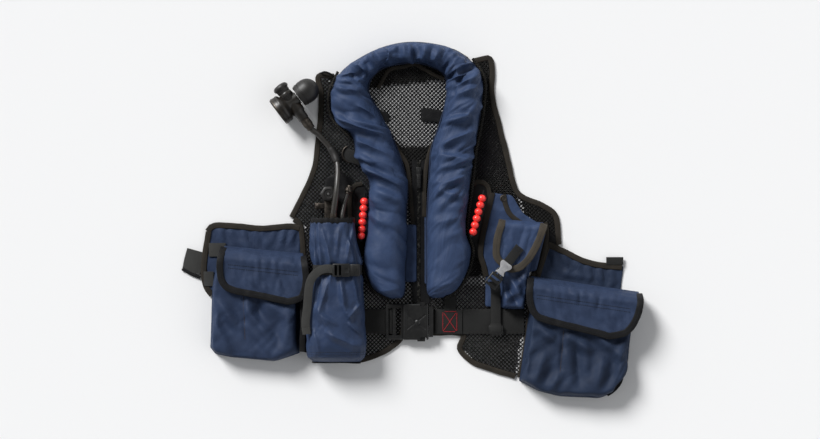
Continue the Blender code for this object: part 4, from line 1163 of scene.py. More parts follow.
def burst_zip(name, points):
    """The teeth of the zip that bursts when the collar inflates, along its outer edge."""
    line = smooth(points, 3.0, z=COVER_Z + 7.0)
    sweep(name + "_tape", line, rounded(5.6, 5.6, 1.6), BLACK_CLOTH)
    count = int(np.linalg.norm(np.diff(line, axis=0), axis=1).sum() / 2.6)
    spots = even(line, count)
    tangent = np.gradient(spots, axis=0)
    tangent /= np.linalg.norm(tangent, axis=1, keepdims=True)
    verts, faces = [], []
    for k, (p, run) in enumerate(zip(spots, tangent)):
        side = np.cross(run, (0, 0, 1))
        p = p + side * (0.8 if k % 2 else -0.8) + np.array((0, 0, 2.6))
        block(verts, faces, p, run * 0.8, side * 1.7, (0, 0, 1.0), 0.7)
    new_mesh(name + "_teeth", verts, faces, TEETH_OLIVE)


def block(verts, faces, centre, half_x, half_y, half_z, top=1.0):
    """A little block whose top is narrowed by the factor top, added to a mesh being built."""
    base = len(verts)
    centre, half_x, half_y, half_z = (np.array(v, float) for v in (centre, half_x, half_y, half_z))
    for z, size in ((-1, 1.0), (1, top)):
        for x, y in ((-1, -1), (1, -1), (1, 1), (-1, 1)):
            verts.append(centre + half_x * x * size + half_y * y * size + half_z * z)
    for f in ((3, 2, 1, 0), (4, 5, 6, 7), (0, 1, 5, 4), (1, 2, 6, 5), (2, 3, 7, 6), (3, 0, 4, 7)):
        faces.append([base + k for k in f])


# ------------------------------------------------------------------ bags and flaps


def coons(top, right, bottom, left, u, v):
    """A point grid filling four border lines; u runs left to right and v from top to bottom."""
    lines = [even(points3(p), 60) for p in (top, right, bottom, left)]

    def at(line, t):
        x = np.asarray(t) * 59
        return np.stack([np.interp(x, np.arange(60), line[:, i]) for i in range(3)], axis=-1)

    t, r, b, l = lines
    u, v = np.asarray(u)[None, :, None], np.asarray(v)[:, None, None]
    ruled_v = at(t, u[..., 0]) * (1 - v) + at(b, u[..., 0]) * v
    ruled_u = at(l, v[..., 0]) * (1 - u) + at(r, v[..., 0]) * u
    corners = (t[0] * (1 - u) * (1 - v) + t[-1] * u * (1 - v) + b[0] * (1 - u) * v + b[-1] * u * v)
    return ruled_v + ruled_u - corners


def wall_profile(width, height, walls, lean, steps):
    """Positions across a bag and its height share: steep walls on the named ends, flat between."""
    start, end = walls
    curve = [(0.0, 0.0)]
    wall = [(0.12 * lean, 0.3), (0.3 * lean, 0.62), (0.6 * lean, 0.86), (1.1 * lean, 0.97), (1.8 * lean, 1.0)]
    curve = [(0.0, 0.0)] + wall if start else [(0.0, 1.0)]
    tail = [(width - x, h) for x, h in reversed([(0.0, 0.0)] + wall)] if end else [(width, 1.0)]
    curve = np.array(curve + tail)
    length = np.concatenate([[0], np.cumsum(np.hypot(np.diff(curve[:, 0]), np.diff(curve[:, 1]) * height))])
    at = np.linspace(0, length[-1], max(5, int(length[-1] / steps)))
    return np.interp(at, length, curve[:, 0]) / width, np.interp(at, length, curve[:, 1])


def bag(name, top, right, bottom, left, low_z, high_z, mat, walls="WSE", lean=9.0, step=6.5, folds=(),
        pressure=2.5, cap=7.0, body="vest", slack=1.05, bend=0.03, seed=0.0,
        sag=0.0, crumple=1.8, slant=0.9):
    """A three-dimensional pocket: gusset walls on the named sides and a soft front between them."""
    width = np.linalg.norm(np.diff(points3(top), axis=0), axis=1).sum()
    depth = np.linalg.norm(np.diff(points3(left), axis=0), axis=1).sum()
    u, fu = wall_profile(width, high_z - low_z, ("W" in walls, "E" in walls), lean, step)
    v, fv = wall_profile(depth, high_z - low_z, ("N" in walls, "S" in walls), lean, step)
    grid = coons(top, right, bottom, left, u, v)
    grid[..., 2] = low_z + (high_z - low_z) * fv[:, None] * fu[None, :]
    for r in range(len(v)):
        for c in range(len(u)):
            x, y, _ = grid[r, c]
            inner = fv[r] * fu[c]
            lift = fold_height(x, y, folds) - sag * math.sin(math.pi * u[c]) * (1 - v[r]) ** 2
            grid[r, c, 2] += inner * inner * lift
    pins = np.zeros(grid.shape[:2])
    for side, place in (("N", (0, slice(None))), ("S", (-1, slice(None))), ("W", (slice(None), 0)),
                        ("E", (slice(None), -1))):
        pins[place] = 1.0 if side in walls else 0.35
    return cloth_sheet(name, grid, mat, body, pins, slack, slack, pressure=pressure, bending=bend,
                       cap=cap, seed=seed, crumple=dict(
                           strength=lambda s, t, p: crumple, along=52.0, across=150.0, slant=slant, edges=6,
                           folds=folds))


def flap_sheet(name, hinge, hem, bulge, drop, body, folds=(), mat=None, step=6.0, seed=0.0, slack=1.04,
               pressure=1.6, cap=3.5, corner=22.0):
    """A pocket flap: from its sewn hinge over the pocket's edge and down to its round-cornered hem."""
    (a, b), (c, d) = hinge, hem
    width, depth = math.dist(a, b), math.dist(a, c)
    shares, heights = np.array(drop, float).T
    length = np.concatenate([[0], np.cumsum(np.hypot(np.diff(shares) * depth, np.diff(heights)))])
    rows, columns = int(length[-1] / step), int(width / step)
    at = np.linspace(0, length[-1], rows)
    share, height = np.interp(at, length, shares), np.interp(at, length, heights)
    grid = np.zeros((rows, columns, 3))
    for r in range(rows):
        for k in range(columns):
            t = k / (columns - 1)
            top = np.array(a, float) * (1 - t) + np.array(b, float) * t
            end = np.array(c, float) * (1 - t) + np.array(d, float) * t
            x, y = top * (1 - share[r]) + end * share[r]
            near = max(0.0, 1.0 - (1.0 - share[r]) * depth / corner)
            round_in = corner * (1.0 - math.sqrt(1.0 - near * near))
            x += (bulge * math.sin(math.pi * share[r]) - round_in) * (2 * t - 1)
            z = height[r] + fold_height(x, y, folds) * min(1.0, 4 * share[r])
            grid[r, k] = x, y, z
    pins = border_pins(rows, columns)
    # The large flaps default to the navy nylon darkened with painted shade.
    return cloth_sheet(name, grid, mat or NAVY_PAINTED_SHADE, body, pins, slack, slack, pressure=pressure,
                       bending=0.04, cap=cap, thick=2.0, seed=seed, crumple=dict(
                           strength=lambda s, t, p: 1.1 + 1.0 * s, along=60.0, across=16.0, slant=0.15,
                           edges=6)), grid


FLAP_DROP = [(0, 7.5), (0.05, 26), (0.13, 40), (0.24, 48.6), (0.6, 48), (1, 47)]
SMALL_DROP = [(0, 11.6), (0.03, 27), (0.07, 38), (0.14, 40.8), (0.6, 40), (1, 39.2)]


def flap_edges(name, grid, body, width, mid_rows=(0.55, 0.60), thick=4.0, mat=None):
    """Bindings round a flap's free sides; gives back the lines for a double row of stitches across its middle."""
    lines = np.vstack([grid[:, 0][2:], grid[-1][1:-1], grid[::-1, -1][:-2]])
    corner = [lines[0]]
    for p in lines:
        if np.linalg.norm(p - corner[-1]) > 8:
            corner.append(p)
    line = np.array(corner)
    inner = line + np.array((0, 0, 1.4))
    tape(name + "_binding", inner, width, thick=thick, mat=mat, body=body, z=0, step=5.0, wobble=0.3)
    rows = len(grid)
    seams = [grid[int(rows * share)][2:-2] + np.array((0, 0, 1.0)) for share in mid_rows]
    return seams


def large_pockets():
    left_folds = [
        ((-330, -146), (-327, -240), 3, -2.5), ((-326, -172), (-262, -262), 9, 6.0),
        ((-322, -208), (-276, -268), 7, 4.5), ((-378, -160), (-344, -216), 10, 5.0),
        ((-392, -196), (-356, -262), 10, 4.5), ((-306, -150), (-296, -214), 9, -4.0),
        ((-286, -160), (-236, -200), 10, 3.5), ((-238, -178), (-250, -262), 10, 4.0),
    ]
    body = bag("pocket_left_bag",
               [(-384, -90), (-300, -94), (-219, -98)], [(-219, -98), (-219, -180), (-221, -266)],
               [(-398, -255), (-388, -268), (-358, -274), (-270, -282), (-241, -273), (-221, -266)],
               [(-384, -90), (-394, -127), (-398, -255)],
               # The left pocket takes the navy nylon darkened with painted shade.
               POCKET_Z, POCKET_TOP, NAVY_PAINTED_SHADE, folds=left_folds, cap=7.0, pressure=3.0, seed=3.0, sag=2.0, crumple=2.6)
    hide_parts("pocket_left")
    LATER.append(("pocket_left_seam", [[(-330.5, -148, 0), (-329, -190, 0), (-327, -240, 0)]], body, "vest",
                  THREAD_BROWN))
    tape("pocket_left_gusset", [(-213, -150, 26), (-212, -210, 24), (-214, -262, 20)], 12.0, thick=24.0,
         mat=BLACK_CLOTH, stitched=False)
    right_folds = [
        ((305, -206), (297, -310), 3, -2.5), ((256, -214), (292, -246), 8, 5.0),
        ((330, -244), (336, -334), 9, -5.0), ((312, -232), (362, -262), 9, 4.5),
        ((268, -268), (244, -326), 10, 4.5), ((366, -226), (424, -276), 10, 5.0),
        ((384, -270), (368, -342), 11, 4.5), ((300, -300), (276, -342), 8, 3.5),
        ((420, -244), (414, -316), 8, 3.5),
    ]
    body = bag("pocket_right_bag",
               [(246, -146), (340, -158), (446, -171)], [(446, -171), (440, -228), (432, -306)],
               [(219, -322), (258, -342), (297, -352), (378, -356), (404, -345), (432, -306)],
               [(246, -146), (236, -203), (219, -322)],
               # The right pocket takes the navy nylon darkened further with painted shade.
               POCKET_Z, POCKET_TOP, NAVY_DEEPER_PAINTED_SHADE, folds=right_folds, cap=7.0, pressure=3.0, seed=11.0, sag=2.0, crumple=2.6)
    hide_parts("pocket_right")
    LATER.append(("pocket_right_seam", [[(305, -214, 0), (302, -260, 0), (297, -306, 0)]], body, "vest",
                  THREAD_BROWN))
    tape("pocket_right_gusset", [(421, -300, 14), (417, -322, 14), (405, -338, 14), (392, -347, 13)], 11.0, thick=18.0,
         mat=BLACK_CLOTH, stitched=False)

    puckers = [((-302, -74), (-300, -128), 4, 3.4), ((-275, -76), (-276, -122), 4, -3.6),
               ((-268, -70), (-270, -116), 5, 2.6), ((-350, -84), (-348, -124), 8, 2.0),
               ((-240, -78), (-222, -104), 6, 3.0), ((-312, -112), (-316, -146), 5, 2.4),
               ((-292, -116), (-290, -150), 4, 2.6), ((-262, -116), (-258, -154), 4, 2.4)]
    flap, grid = flap_sheet("left_flap_cloth", ((-370, -54), (-213, -69)), ((-366, -141), (-214, -163)),
                            8.0, FLAP_DROP, "left_flap", puckers, seed=5.0)
    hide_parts("pocket_left_flap")
    seams = flap_edges("left_flap", grid, "left_flap", 13.5, thick=5.0, mat=BLACK_CLOTH)
    LATER.append(("left_flap_seams", seams, flap, "left_flap", THREAD_BLACK))
    puckers = [((318, -130), (334, -166), 5, 3.4), ((336, -136), (336, -168), 4, -3.6),
               ((362, -134), (366, -172), 5, 3.4), ((372, -150), (372, -180), 4, -3.0),
               ((272, -126), (290, -168), 7, 2.6), ((392, -138), (416, -162), 6, 3.4),
               ((300, -180), (304, -208), 8, 2.0), ((400, -184), (396, -222), 8, 2.0)]
    flap, grid = flap_sheet("right_flap_cloth", ((241, -114), (456, -146)), ((252, -200), (424, -232)),
                            10.0, FLAP_DROP, "right_flap", puckers, seed=7.0)
    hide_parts("pocket_right_flap")
    seams = flap_edges("right_flap", grid, "right_flap", 13.5, thick=5.0, mat=BLACK_CLOTH)
    LATER.append(("right_flap_seams", seams, flap, "right_flap", THREAD_BLACK))


LATER = []  # stitch rows that are laid on a cloth once it has been simulated


def lay_stitches():
    """Drops each waiting row of stitches on to the cloth under it."""
    graph = bpy.context.evaluated_depsgraph_get()
    for name, lines, cloth, body, mat in LATER:
        shown = cloth.evaluated_get(graph)
        dropped = []
        for line in lines:
            dense = even(points3(line), max(4, int(len(line) * 4)))
            out = []
            for p in dense:
                hit, place, _, _ = shown.ray_cast(Vector((p[0] * MM, p[1] * MM, 0.2)), Vector((0, 0, -1)))
                if hit:
                    out.append((place.x / MM, place.y / MM, place.z / MM + 0.12))
            if len(out) > 3:
                dropped.append(np.array(out))
        stitches(name, dropped, mat, body, radius=0.62, pitch=3.6, length=2.9)
    LATER.clear()


# ------------------------------------------------------------------ bottle pouch

POUCH_SECTIONS = [
    (2, -153, 42, 60), (-30, -153, 43, 62), (-60, -150, 45, 64), (-86, -144, 46, 65),
    (-113, -144, 46, 65), (-150, -146, 51, 66), (-205, -147, 57, 66), (-250, -146, 60, 64),
    (-274, -146, 56, 54), (-284, -146, 44, 34),
]
POUCH_LOW = low("bottle_pouch")[2]
CINCH_Y = -99.5


def pouch_section(y):
    ys = [s[0] for s in POUCH_SECTIONS][::-1]
    return [np.interp(y, ys, [s[k] for s in POUCH_SECTIONS][::-1]) for k in (1, 2, 3)]


def pouch_point(y, angle, grow=0.0):
    centre, half, height = pouch_section(y)
    c, s = math.cos(angle), math.sin(angle)
    return (centre + (half + grow) * math.copysign(abs(c) ** 0.75, c), y,
            POUCH_LOW + height / 2 + (height / 2 + grow) * math.copysign(abs(s) ** 0.75, s))


def pouch_crumple(s, t, p):
    """Small creases of one size, except none close round the cinch strap and on the flat underside."""
    off = CINCH_Y - p[1]
    return 0.0 if abs(off) < 8 or p[2] < POUCH_LOW + 4 else 1.2


def gathers(angle, y):
    """Round-backed gathers with sharp valleys, run out from the cinch strap and fading below it."""
    off = CINCH_Y - y
    fade = math.exp(-max(0.0, off - 8) / 56.0) * math.exp(-max(0.0, -off - 20) / 70.0)
    drift = 1.1 * noise.noise(Vector((math.cos(angle) * 2, math.sin(angle) * 2, y / 60.0)))
    ridge = 1.25 - 1.5 * abs(math.sin(6 * angle + 1.1 * math.sin(3 * angle) + drift))
    return fade * ridge * 5.6


def bottle_pouch():
    """The cloth sleeve round the bottle, gathered where its strap pulls it in."""
    ys = np.concatenate([np.arange(-6, -278, -4.2), [-280, -284]])
    columns = 84
    grid = np.zeros((len(ys), columns, 3))
    for r, y in enumerate(ys):
        waist = 1.0 - 0.14 * math.exp(-(((y - CINCH_Y) / 12.0) ** 2))
        held = 1.0 - 0.75 * math.exp(-(((y - CINCH_Y) / 9.0) ** 2))
        for k in range(columns):
            angle = 2 * math.pi * k / columns
            slow = noise.noise(Vector((math.cos(angle) * 1.6, math.sin(angle) * 1.6, y / 38.0)))
            grow = gathers(angle, y) * held + 3.0 * slow * min(1.0, max(0.0, (CINCH_Y - y) / 60))
            x, _, z = pouch_point(y, angle, grow)
            centre, _, height = pouch_section(y)
            middle = POUCH_LOW + height / 2
            end = 1.0 if y > -270 else max(0.3, 1.0 - ((-270 - y) / 14) ** 2 * 0.75)
            z = middle + (z - middle) * waist * end
            x = centre + (x - centre) * (0.35 * waist + 0.65)
            z = max(POUCH_LOW, z)
            grid[r, k] = x, y, z
    pins = np.zeros((len(ys), columns))
    pins[0] = pins[-1] = 1.0
    pins[np.abs(ys - CINCH_Y) < 4.5] = 1.0
    flat = grid[..., 2] < POUCH_LOW + 3
    pins[flat] = 1.0
    cover = cloth_sheet("bottle_pouch_cloth", grid, NAVY_SHINY, "vest", pins, 1.06, 1.05, pressure=2.0,
                        bending=0.02, cap=5.0, around=True, thick=1.4, jitter=1.2, seed=21.0,
                        crumple=dict(strength=pouch_crumple, along=44.0, across=1.8, slant=0.0, edges=4, folds=POUCH_FOLDS, dent=0.6))
    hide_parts("bottle_pouch")
    bottom = [(x, -284.0, z) for x, _, z in (grid[-1][k] for k in range(0, columns, 2))]
    tape("pouch_bottom_edge", bottom, 7.0, z=0, thick=3.2, mat=BLACK_CLOTH, closed=True, step=5.0,
         up=(0, -1, 0), stitched=False)
    rim = [pouch_point(-2.0, 2 * math.pi * k / 40, 0.3) for k in range(40)]
    band = sweep("pouch_elastic_rim", smooth(rim, 3.0, True), rounded(2.2, 10.0, 1.0), BLACK_CLOTH,
                 closed=True, up=(0, 1, 0),
                 scale=[1.0 + 0.3 * math.sin(k * 1.7) for k in range(len(smooth(rim, 3.0, True)))])
    hem = [pouch_point(-262.0, math.radians(a), 1.6) for a in range(4, 180, 8)]
    LATER.append(("pouch_hem_stitches", [np.array(hem), np.array(hem) + (0, -5, 0)], cover, "vest", None))


POUCH_FOLDS = [
    ((-138, -112), (-126, -186), 9, 10.0), ((-158, -112), (-180, -186), 9, 9.0),
    ((-112, -114), (-100, -164), 8, 9.0), ((-134, -168), (-112, -200), 7, 6.0),
    ((-96, -166), (-122, -196), 9, 9.0), ((-172, -190), (-132, -214), 8, 7.0),
    ((-186, -170), (-146, -236), 12, 10.0), ((-166, -222), (-100, -252), 11, 10.0),
    ((-194, -206), (-178, -262), 11, 6.0), ((-122, -204), (-94, -230), 8, 8.0),
    ((-140, -16), (-146, -82), 7, 7.0), ((-172, -20), (-156, -84), 7, 7.0), ((-112, -18), (-124, -80), 7, 7.0),
]


def pouch_straps():
    """The cinch strap with its black side-release buckle, and the free end hanging."""
    arc = [pouch_point(CINCH_Y, math.radians(a), 1.6) for a in range(-18, 200, 8)]
    sweep("cinch_strap", smooth(arc, 5.0), rounded(1.9, 20.0, 0.8), WEBBING, up=(0, 1, 0))
    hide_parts("pouch_strap")
    top = POUCH_LOW + 65
    tail = [
        (-150, -98, top + 4.4), (-163, -96.5, top + 4.8), (-174, -99, top + 4.2), (-184, -105.5, top + 3.2),
        (-192, -114, top + 2.0), (-197, -126, top + 0.6), (-199.5, -142, top - 0.6), (-202, -172, top - 4),
        (-205.5, -204, top - 6), (-203, -226, top - 7),
    ]
    end = strap("strap_tail_webbing", tail, 17.0, 1.8, WEBBING_GREY)
    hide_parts("strap_tail")
    follow(end)
    strap("strap_tail_hem", [(-204.4, -213, top - 4.8), (-203, -226, top - 5.4)], 16.4, 2.4, WEBBING_GREY)
    a, b = low("pouch_buckle_female"), high("pouch_buckle_female")
    female = buckle_body("pouch_buckle_body", a, b, PLASTIC, "pouch_buckle", bars=((4, 9), (12.5, 17)),
                         relief=True)
    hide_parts("pouch_buckle_female")
    m, n = low("pouch_buckle_male"), high("pouch_buckle_male")
    male = rounded_box("pouch_buckle_tongue", (-117.4, m[1], m[2]), (n[0], n[1], n[2]), PLASTIC,
                       bevel=2.0)
    tongue = rounded_box("tongue", (-129.5, CINCH_Y - 4.0, m[2] + 2.2), (-114, CINCH_Y + 4.0, n[2] - 2.2),
                         PLASTIC, bevel=0.8)
    prongs = [rounded_box("prong", (-129, CINCH_Y + s * 7.2 - 2.2, m[2] + 2.2),
                          (-114, CINCH_Y + s * 7.2 + 2.2, n[2] - 2.2), PLASTIC, bevel=0.8) for s in (-1, 1)]
    bar = [rounded_box("grip", (x, CINCH_Y - 9.5, n[2] - 0.6), (x + 1.6, CINCH_Y + 9.5, n[2] + 0.6),
                       PLASTIC, bevel=0.5) for x in (-112, -108, -104)]
    male = join("pouch_buckle_prongs", [male, tongue, *prongs, *bar])
    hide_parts("pouch_buckle_male")


def buckle_body(name, a, b, mat, body, bars=(), relief=False, bevel=1.6):
    """A side-release buckle's female half: a hollow box with a ladder-lock frame at its left end."""
    y, half = (a[1] + b[1]) / 2, (b[1] - a[1]) / 2
    shell = rounded_box(name, a, b, mat, body, bevel)
    for number, (start, end) in enumerate(bars):
        cut(shell, rounded_box("slot", (a[0] + start, y - half + 2.6, a[2] - 5),
                               (a[0] + end, y + half - 2.6, b[2] + 5), mat, bevel=0.8))
    socket = a[0] + (bars[-1][1] + 3.5 if bars else 4)
    cut(shell, rounded_box("socket", (socket, y - half + 2.4, a[2] + 1.7), (b[0] + 9, y + half - 2.4, b[2] - 1.7),
                           mat, bevel=0.8))
    for sign in (-1, 1):
        cut(shell, rounded_box("side", (socket + 2, y + sign * half - 3.5, a[2] + 1.7),
                               (b[0] - 4, y + sign * half + 3.5, b[2] - 1.7), mat, bevel=1.0))
    if relief:
        cross = (socket + b[0]) / 2
        cut(shell, rounded_box("dish", (cross - 4.5, y - 4.5, b[2] - 0.6), (cross + 4.5, y + 4.5, b[2] + 3),
                               mat, bevel=0.5))
    return finish_piece(shell, mat, body, 35.0)


# ------------------------------------------------------------------ waist belt and buckle


def waist_belt():
    z = BELT_Z + 1.2
    left = strap("belt_left_webbing", [(-205, BELT_Y, z), (-120, BELT_Y + 0.6, z), (-38, BELT_Y, z + 0.4),
                                       (-32, BELT_Y, z + 2.5)], 50.0, 2.2)
    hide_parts("belt_left")
    fold = strap("belt_fold", [(-90, BELT_Y + 0.5, z + 2.2), (-60, BELT_Y + 0.5, z + 3.2), (-42, BELT_Y, z + 4.6),
                        (-36, BELT_Y, z + 5.2)], 49.0, 1.8)
    for piece in (left, fold):
        follow(piece)
    right = strap("belt_right_webbing", [(42, BELT_Y, z + 5), (52, BELT_Y, z + 1.6), (70, BELT_Y - 0.5, z),
                                         (140, BELT_Y, z), (228, BELT_Y, z)], 50.0, 2.2)
    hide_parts("belt_right")
    strap("belt_right_fold", [(50, BELT_Y, z + 5), (66, BELT_Y, z + 3), (104, BELT_Y - 0.3, z + 2.3)], 49.0, 1.8)
    box_stitch("belt_box_stitch", 65.5, 93.5, BELT_Y - 20, BELT_Y + 20, z + 4.0, THREAD_RED, 0.7)
    strap("belt_keeper_web", [(80, -152, 6.6), (80, -182, 7.2)], 24.0, 1.6)
    end = strap("belt_end_web", [(-427, -62, 2), (-433, -84, 2), (-437, -106, 2)], 38.0, 3.6, WEBBING_GREY)
    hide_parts("belt_end_left")
    strap("belt_end_edge", [(-455, -98, 2.4), (-438, -108, 2.6), (-419, -116, 2.4)], 7.0, 4.2, BLACK_CLOTH)


def box_stitch(name, x0, x1, y0, y1, z, mat, radius=0.34, cross=True):
    """The square with a cross in it that holds two webbings together."""
    corners = [(x0, y0, z), (x1, y0, z), (x1, y1, z), (x0, y1, z)]
    lines = [[a, b] for a, b in zip(corners, corners[1:] + corners[:1])]
    if cross:
        lines += [[corners[0], corners[2]], [corners[1], corners[3]]]
    stitches(name, lines, mat, radius=radius, pitch=2.6, length=2.4)


def waist_buckle():
    """The 50 mm side-release buckle: a ladder-lock frame, a hollow body, and two squeeze latches."""
    a, b = low("waist_buckle_female"), high("waist_buckle_female")
    frame_low, frame_high = (-48.5, BELT_Y - 35.5, a[2]), (-11, BELT_Y + 35.5, a[2] + 7.5)
    shell = rounded_box("waist_shell", (-14, a[1], a[2]), (37, b[1], b[2]), PLASTIC, "waist_female", 3.0, 4)
    ladder = rounded_box("waist_frame", frame_low, frame_high, PLASTIC, "waist_female", 2.6, 4)
    for x0, x1 in ((-43, -35), (-28, -18)):
        cut(ladder, rounded_box("slot", (x0, BELT_Y - 27, 0), (x1, BELT_Y + 27, 40), PLASTIC, bevel=1.2))
    cut(shell, rounded_box("socket", (4, BELT_Y - 29, a[2] + 2.6), (50, BELT_Y + 29, b[2] - 2.6), PLASTIC,
                           bevel=0.6))
    cut(shell, rounded_box("window", (12, BELT_Y - 45, a[2] + 2.6), (50, BELT_Y + 45, b[2] - 2.6), PLASTIC,
                           bevel=0.6))
    for sign in (-1, 1):  # finger notches over the latches
        cut(shell, rounded_box("notch", (20, BELT_Y + sign * 37 - 6.5, 0), (33, BELT_Y + sign * 37 + 6.5, 40),
                               PLASTIC, bevel=3.0))
    for angle in (38, -38):
        turn = Matrix.Translation((12, BELT_Y, b[2])) @ Matrix.Rotation(math.radians(angle), 4, "Z")
        cut(shell, rounded_box("groove", (-24, -2.0, -0.9), (24, 2.0, 3), PLASTIC, bevel=0.6, matrix=turn))
    bump = revolve("waist_bump", [(-1.2, 5.4), (0.4, 5.4), (1.3, 4.4), (1.7, 2.4), (1.8, 0.0)],
                   (15, BELT_Y - 1, b[2]), (0, 0, 1), PLASTIC, "waist_female", 28)
    ribs = [rounded_box("rib", (x, BELT_Y - 22, b[2] - 0.7), (x + 1.5, BELT_Y + 22, b[2] + 0.6), PLASTIC,
                        "waist_female", 0.6) for x in (-10.5, -7.2)]
    teeth = [rounded_box("tooth", (x, BELT_Y - 26, frame_high[2] - 1.2), (x + 2.0, BELT_Y + 26, frame_high[2] + 0.8),
                         PLASTIC, "waist_female", 0.7) for x in (-34.2, -31.4)]
    female = join("waist_buckle_body", [shell, ladder, bump, *ribs, *teeth])
    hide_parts("waist_buckle_female")


# ------------------------------------------------------------------ front zip

SLIDER_Y = 96.0
ZIP_TOP, ZIP_BOTTOM = 118.0, -166.0


def front_zip():
    z = low("zip_half_left")[2]
    for side, sign in (("left", -1), ("right", 1)):
        inner, outer = ZIP_X + sign * 0.4, ZIP_X + sign * 13.5
        centre = (inner + outer) / 2
        half = strap(f"zip_tape_{side}", [(centre, ZIP_TOP, z + 0.7), (centre, ZIP_BOTTOM, z + 0.7)], 13.0,
                     1.3, BLACK_CLOTH, across=(1, 0, 0))
        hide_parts(f"zip_half_{side}")
        stitches(f"zip_tape_stitches_{side}", [[(outer - sign * 2.2, ZIP_TOP - 4, z + 1.5),
                                                (outer - sign * 2.2, ZIP_BOTTOM + 4, z + 1.5)]])
        verts, faces = [], []
        for k in range(int((ZIP_TOP - ZIP_BOTTOM) / 2.6)):
            y = ZIP_TOP - 2 - k * 2.6 + (1.3 if sign > 0 else 0)
            if abs(y - SLIDER_Y) < 9.5:
                continue
            spread = 0.9 * max(0.0, (y - SLIDER_Y - 9) / 10)
            block(verts, faces, (ZIP_X + sign * (1.35 + spread), y, z + 1.9), (1.9, 0, 0), (0, 0.72, 0),
                  (0, 0, 0.95), 0.8)
        new_mesh(f"zip_teeth_{side}", verts, faces, TEETH)
    low_z = low("zip_slider")[2]
    slider = [
        rounded_box("slider_top", (ZIP_X - 5.4, SLIDER_Y - 8.5, low_z + 3.0), (ZIP_X + 5.4, SLIDER_Y + 8.5, low_z + 4.8),
                    PLASTIC, "slider", 0.8),
        rounded_box("slider_base", (ZIP_X - 5.4, SLIDER_Y - 8.5, low_z), (ZIP_X + 5.4, SLIDER_Y + 8.5, low_z + 1.2),
                    PLASTIC, "slider", 0.5),
        rounded_box("slider_wedge", (ZIP_X - 1.6, SLIDER_Y + 1, low_z), (ZIP_X + 1.6, SLIDER_Y + 7.5, low_z + 4.2),
                    PLASTIC, "slider", 0.5),
    ]
    slider = join("zip_slider_body", slider)
    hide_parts("zip_slider")
    pull = [
        rounded_box("pull_link", (ZIP_X - 2.6, SLIDER_Y - 8, low_z + 5.4), (ZIP_X + 2.6, SLIDER_Y + 3, low_z + 7.2),
                    PLASTIC, "pull_tab", 0.8),
        rounded_box("pull_plate", (ZIP_X - 4, SLIDER_Y - 33, low_z + 5.3), (ZIP_X + 4, SLIDER_Y - 6, low_z + 7.5),
                    PLASTIC, "pull_tab", 1.0),
    ]
    for k in range(5):
        y = SLIDER_Y - 28 + k * 4
        pull.append(rounded_box("pull_rib", (ZIP_X - 3, y, low_z + 7.1), (ZIP_X + 3, y + 1.6, low_z + 8.0), PLASTIC,
                                "pull_tab", 0.4))
    pull = join("zip_pull_plate", pull)
    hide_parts("zip_pull")
    guard = patch("zip_guard_cloth", [(-9, -10), (13, -10), (13.5, -68), (13, -125), (-9.5, -125), (-10, -66)],
                  low_z + 0.4, 1.2, NAVY, bulge=1.0)
    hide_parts("zip_guard")
    stitches("zip_guard_stitches", [[(-8, -13, low_z + 2.0), (12, -13, low_z + 2.0)],
                                    [(-8, -122, low_z + 2.0), (12, -122, low_z + 2.0)]])
    patch("zip_strip", [(27.5, 6), (36, 6), (36.5, -130), (28, -130)], 5.2, 1.2, NAVY, bulge=0.5)
    strap("zip_side_web", [(24, -132, 5.6), (24, -168, 5.6)], 30.0, 1.6, BLACK_CLOTH, across=(1, 0, 0))


# ------------------------------------------------------------------ bead handles


def bead_handle(side, top, bottom, count=6, radius=7.9):
    """Six glossy beads threaded on a cord, knotted at the bottom."""
    body = side + "_handle"
    start, end = np.array((*top, 28.5)), np.array((*bottom, 28.5))
    run = (end - start) / np.linalg.norm(end - start)
    pieces = []
    bore = 2.2
    for k in range(count):
        place = start + (end - start) * k / (count - 1)
        around = math.asin(bore / radius)
        profile = [(-math.cos(a) * radius * 0.93, math.sin(a) * radius)
                   for a in np.linspace(around, math.pi - around, 20)]
        profile = [(profile[0][0] + 1.2, bore * 0.82)] + profile + [(profile[-1][0] - 1.2, bore * 0.82)]
        pieces.append(revolve(f"bead_{side}_{k}", profile, place, run, BEAD_RED, body, 36,
                              slot="red_beads"))
    beads = join(f"beads_{side}", pieces)
    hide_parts("bead_handle_" + side)
    line = [start - run * (radius + 9), start, end, end + run * (radius + 1)]
    sweep(f"bead_cord_{side}", smooth(line, 4.0), circle(2.0, 12), BLACK_CLOTH, body)
    knot = end + run * (radius + 1.0)
    revolve(f"bead_knot_{side}", [(-2.6, 1.2), (-2.0, 3.0), (-0.4, 3.9), (1.2, 3.6), (2.6, 1.6), (3.0, 0)],
            knot, run, BLACK_CLOTH, body, 20, slot="black_webbing",
            ripple=lambda a, x: 1 + 0.12 * math.sin(3 * a + x))


# ------------------------------------------------------------------ regulator parts


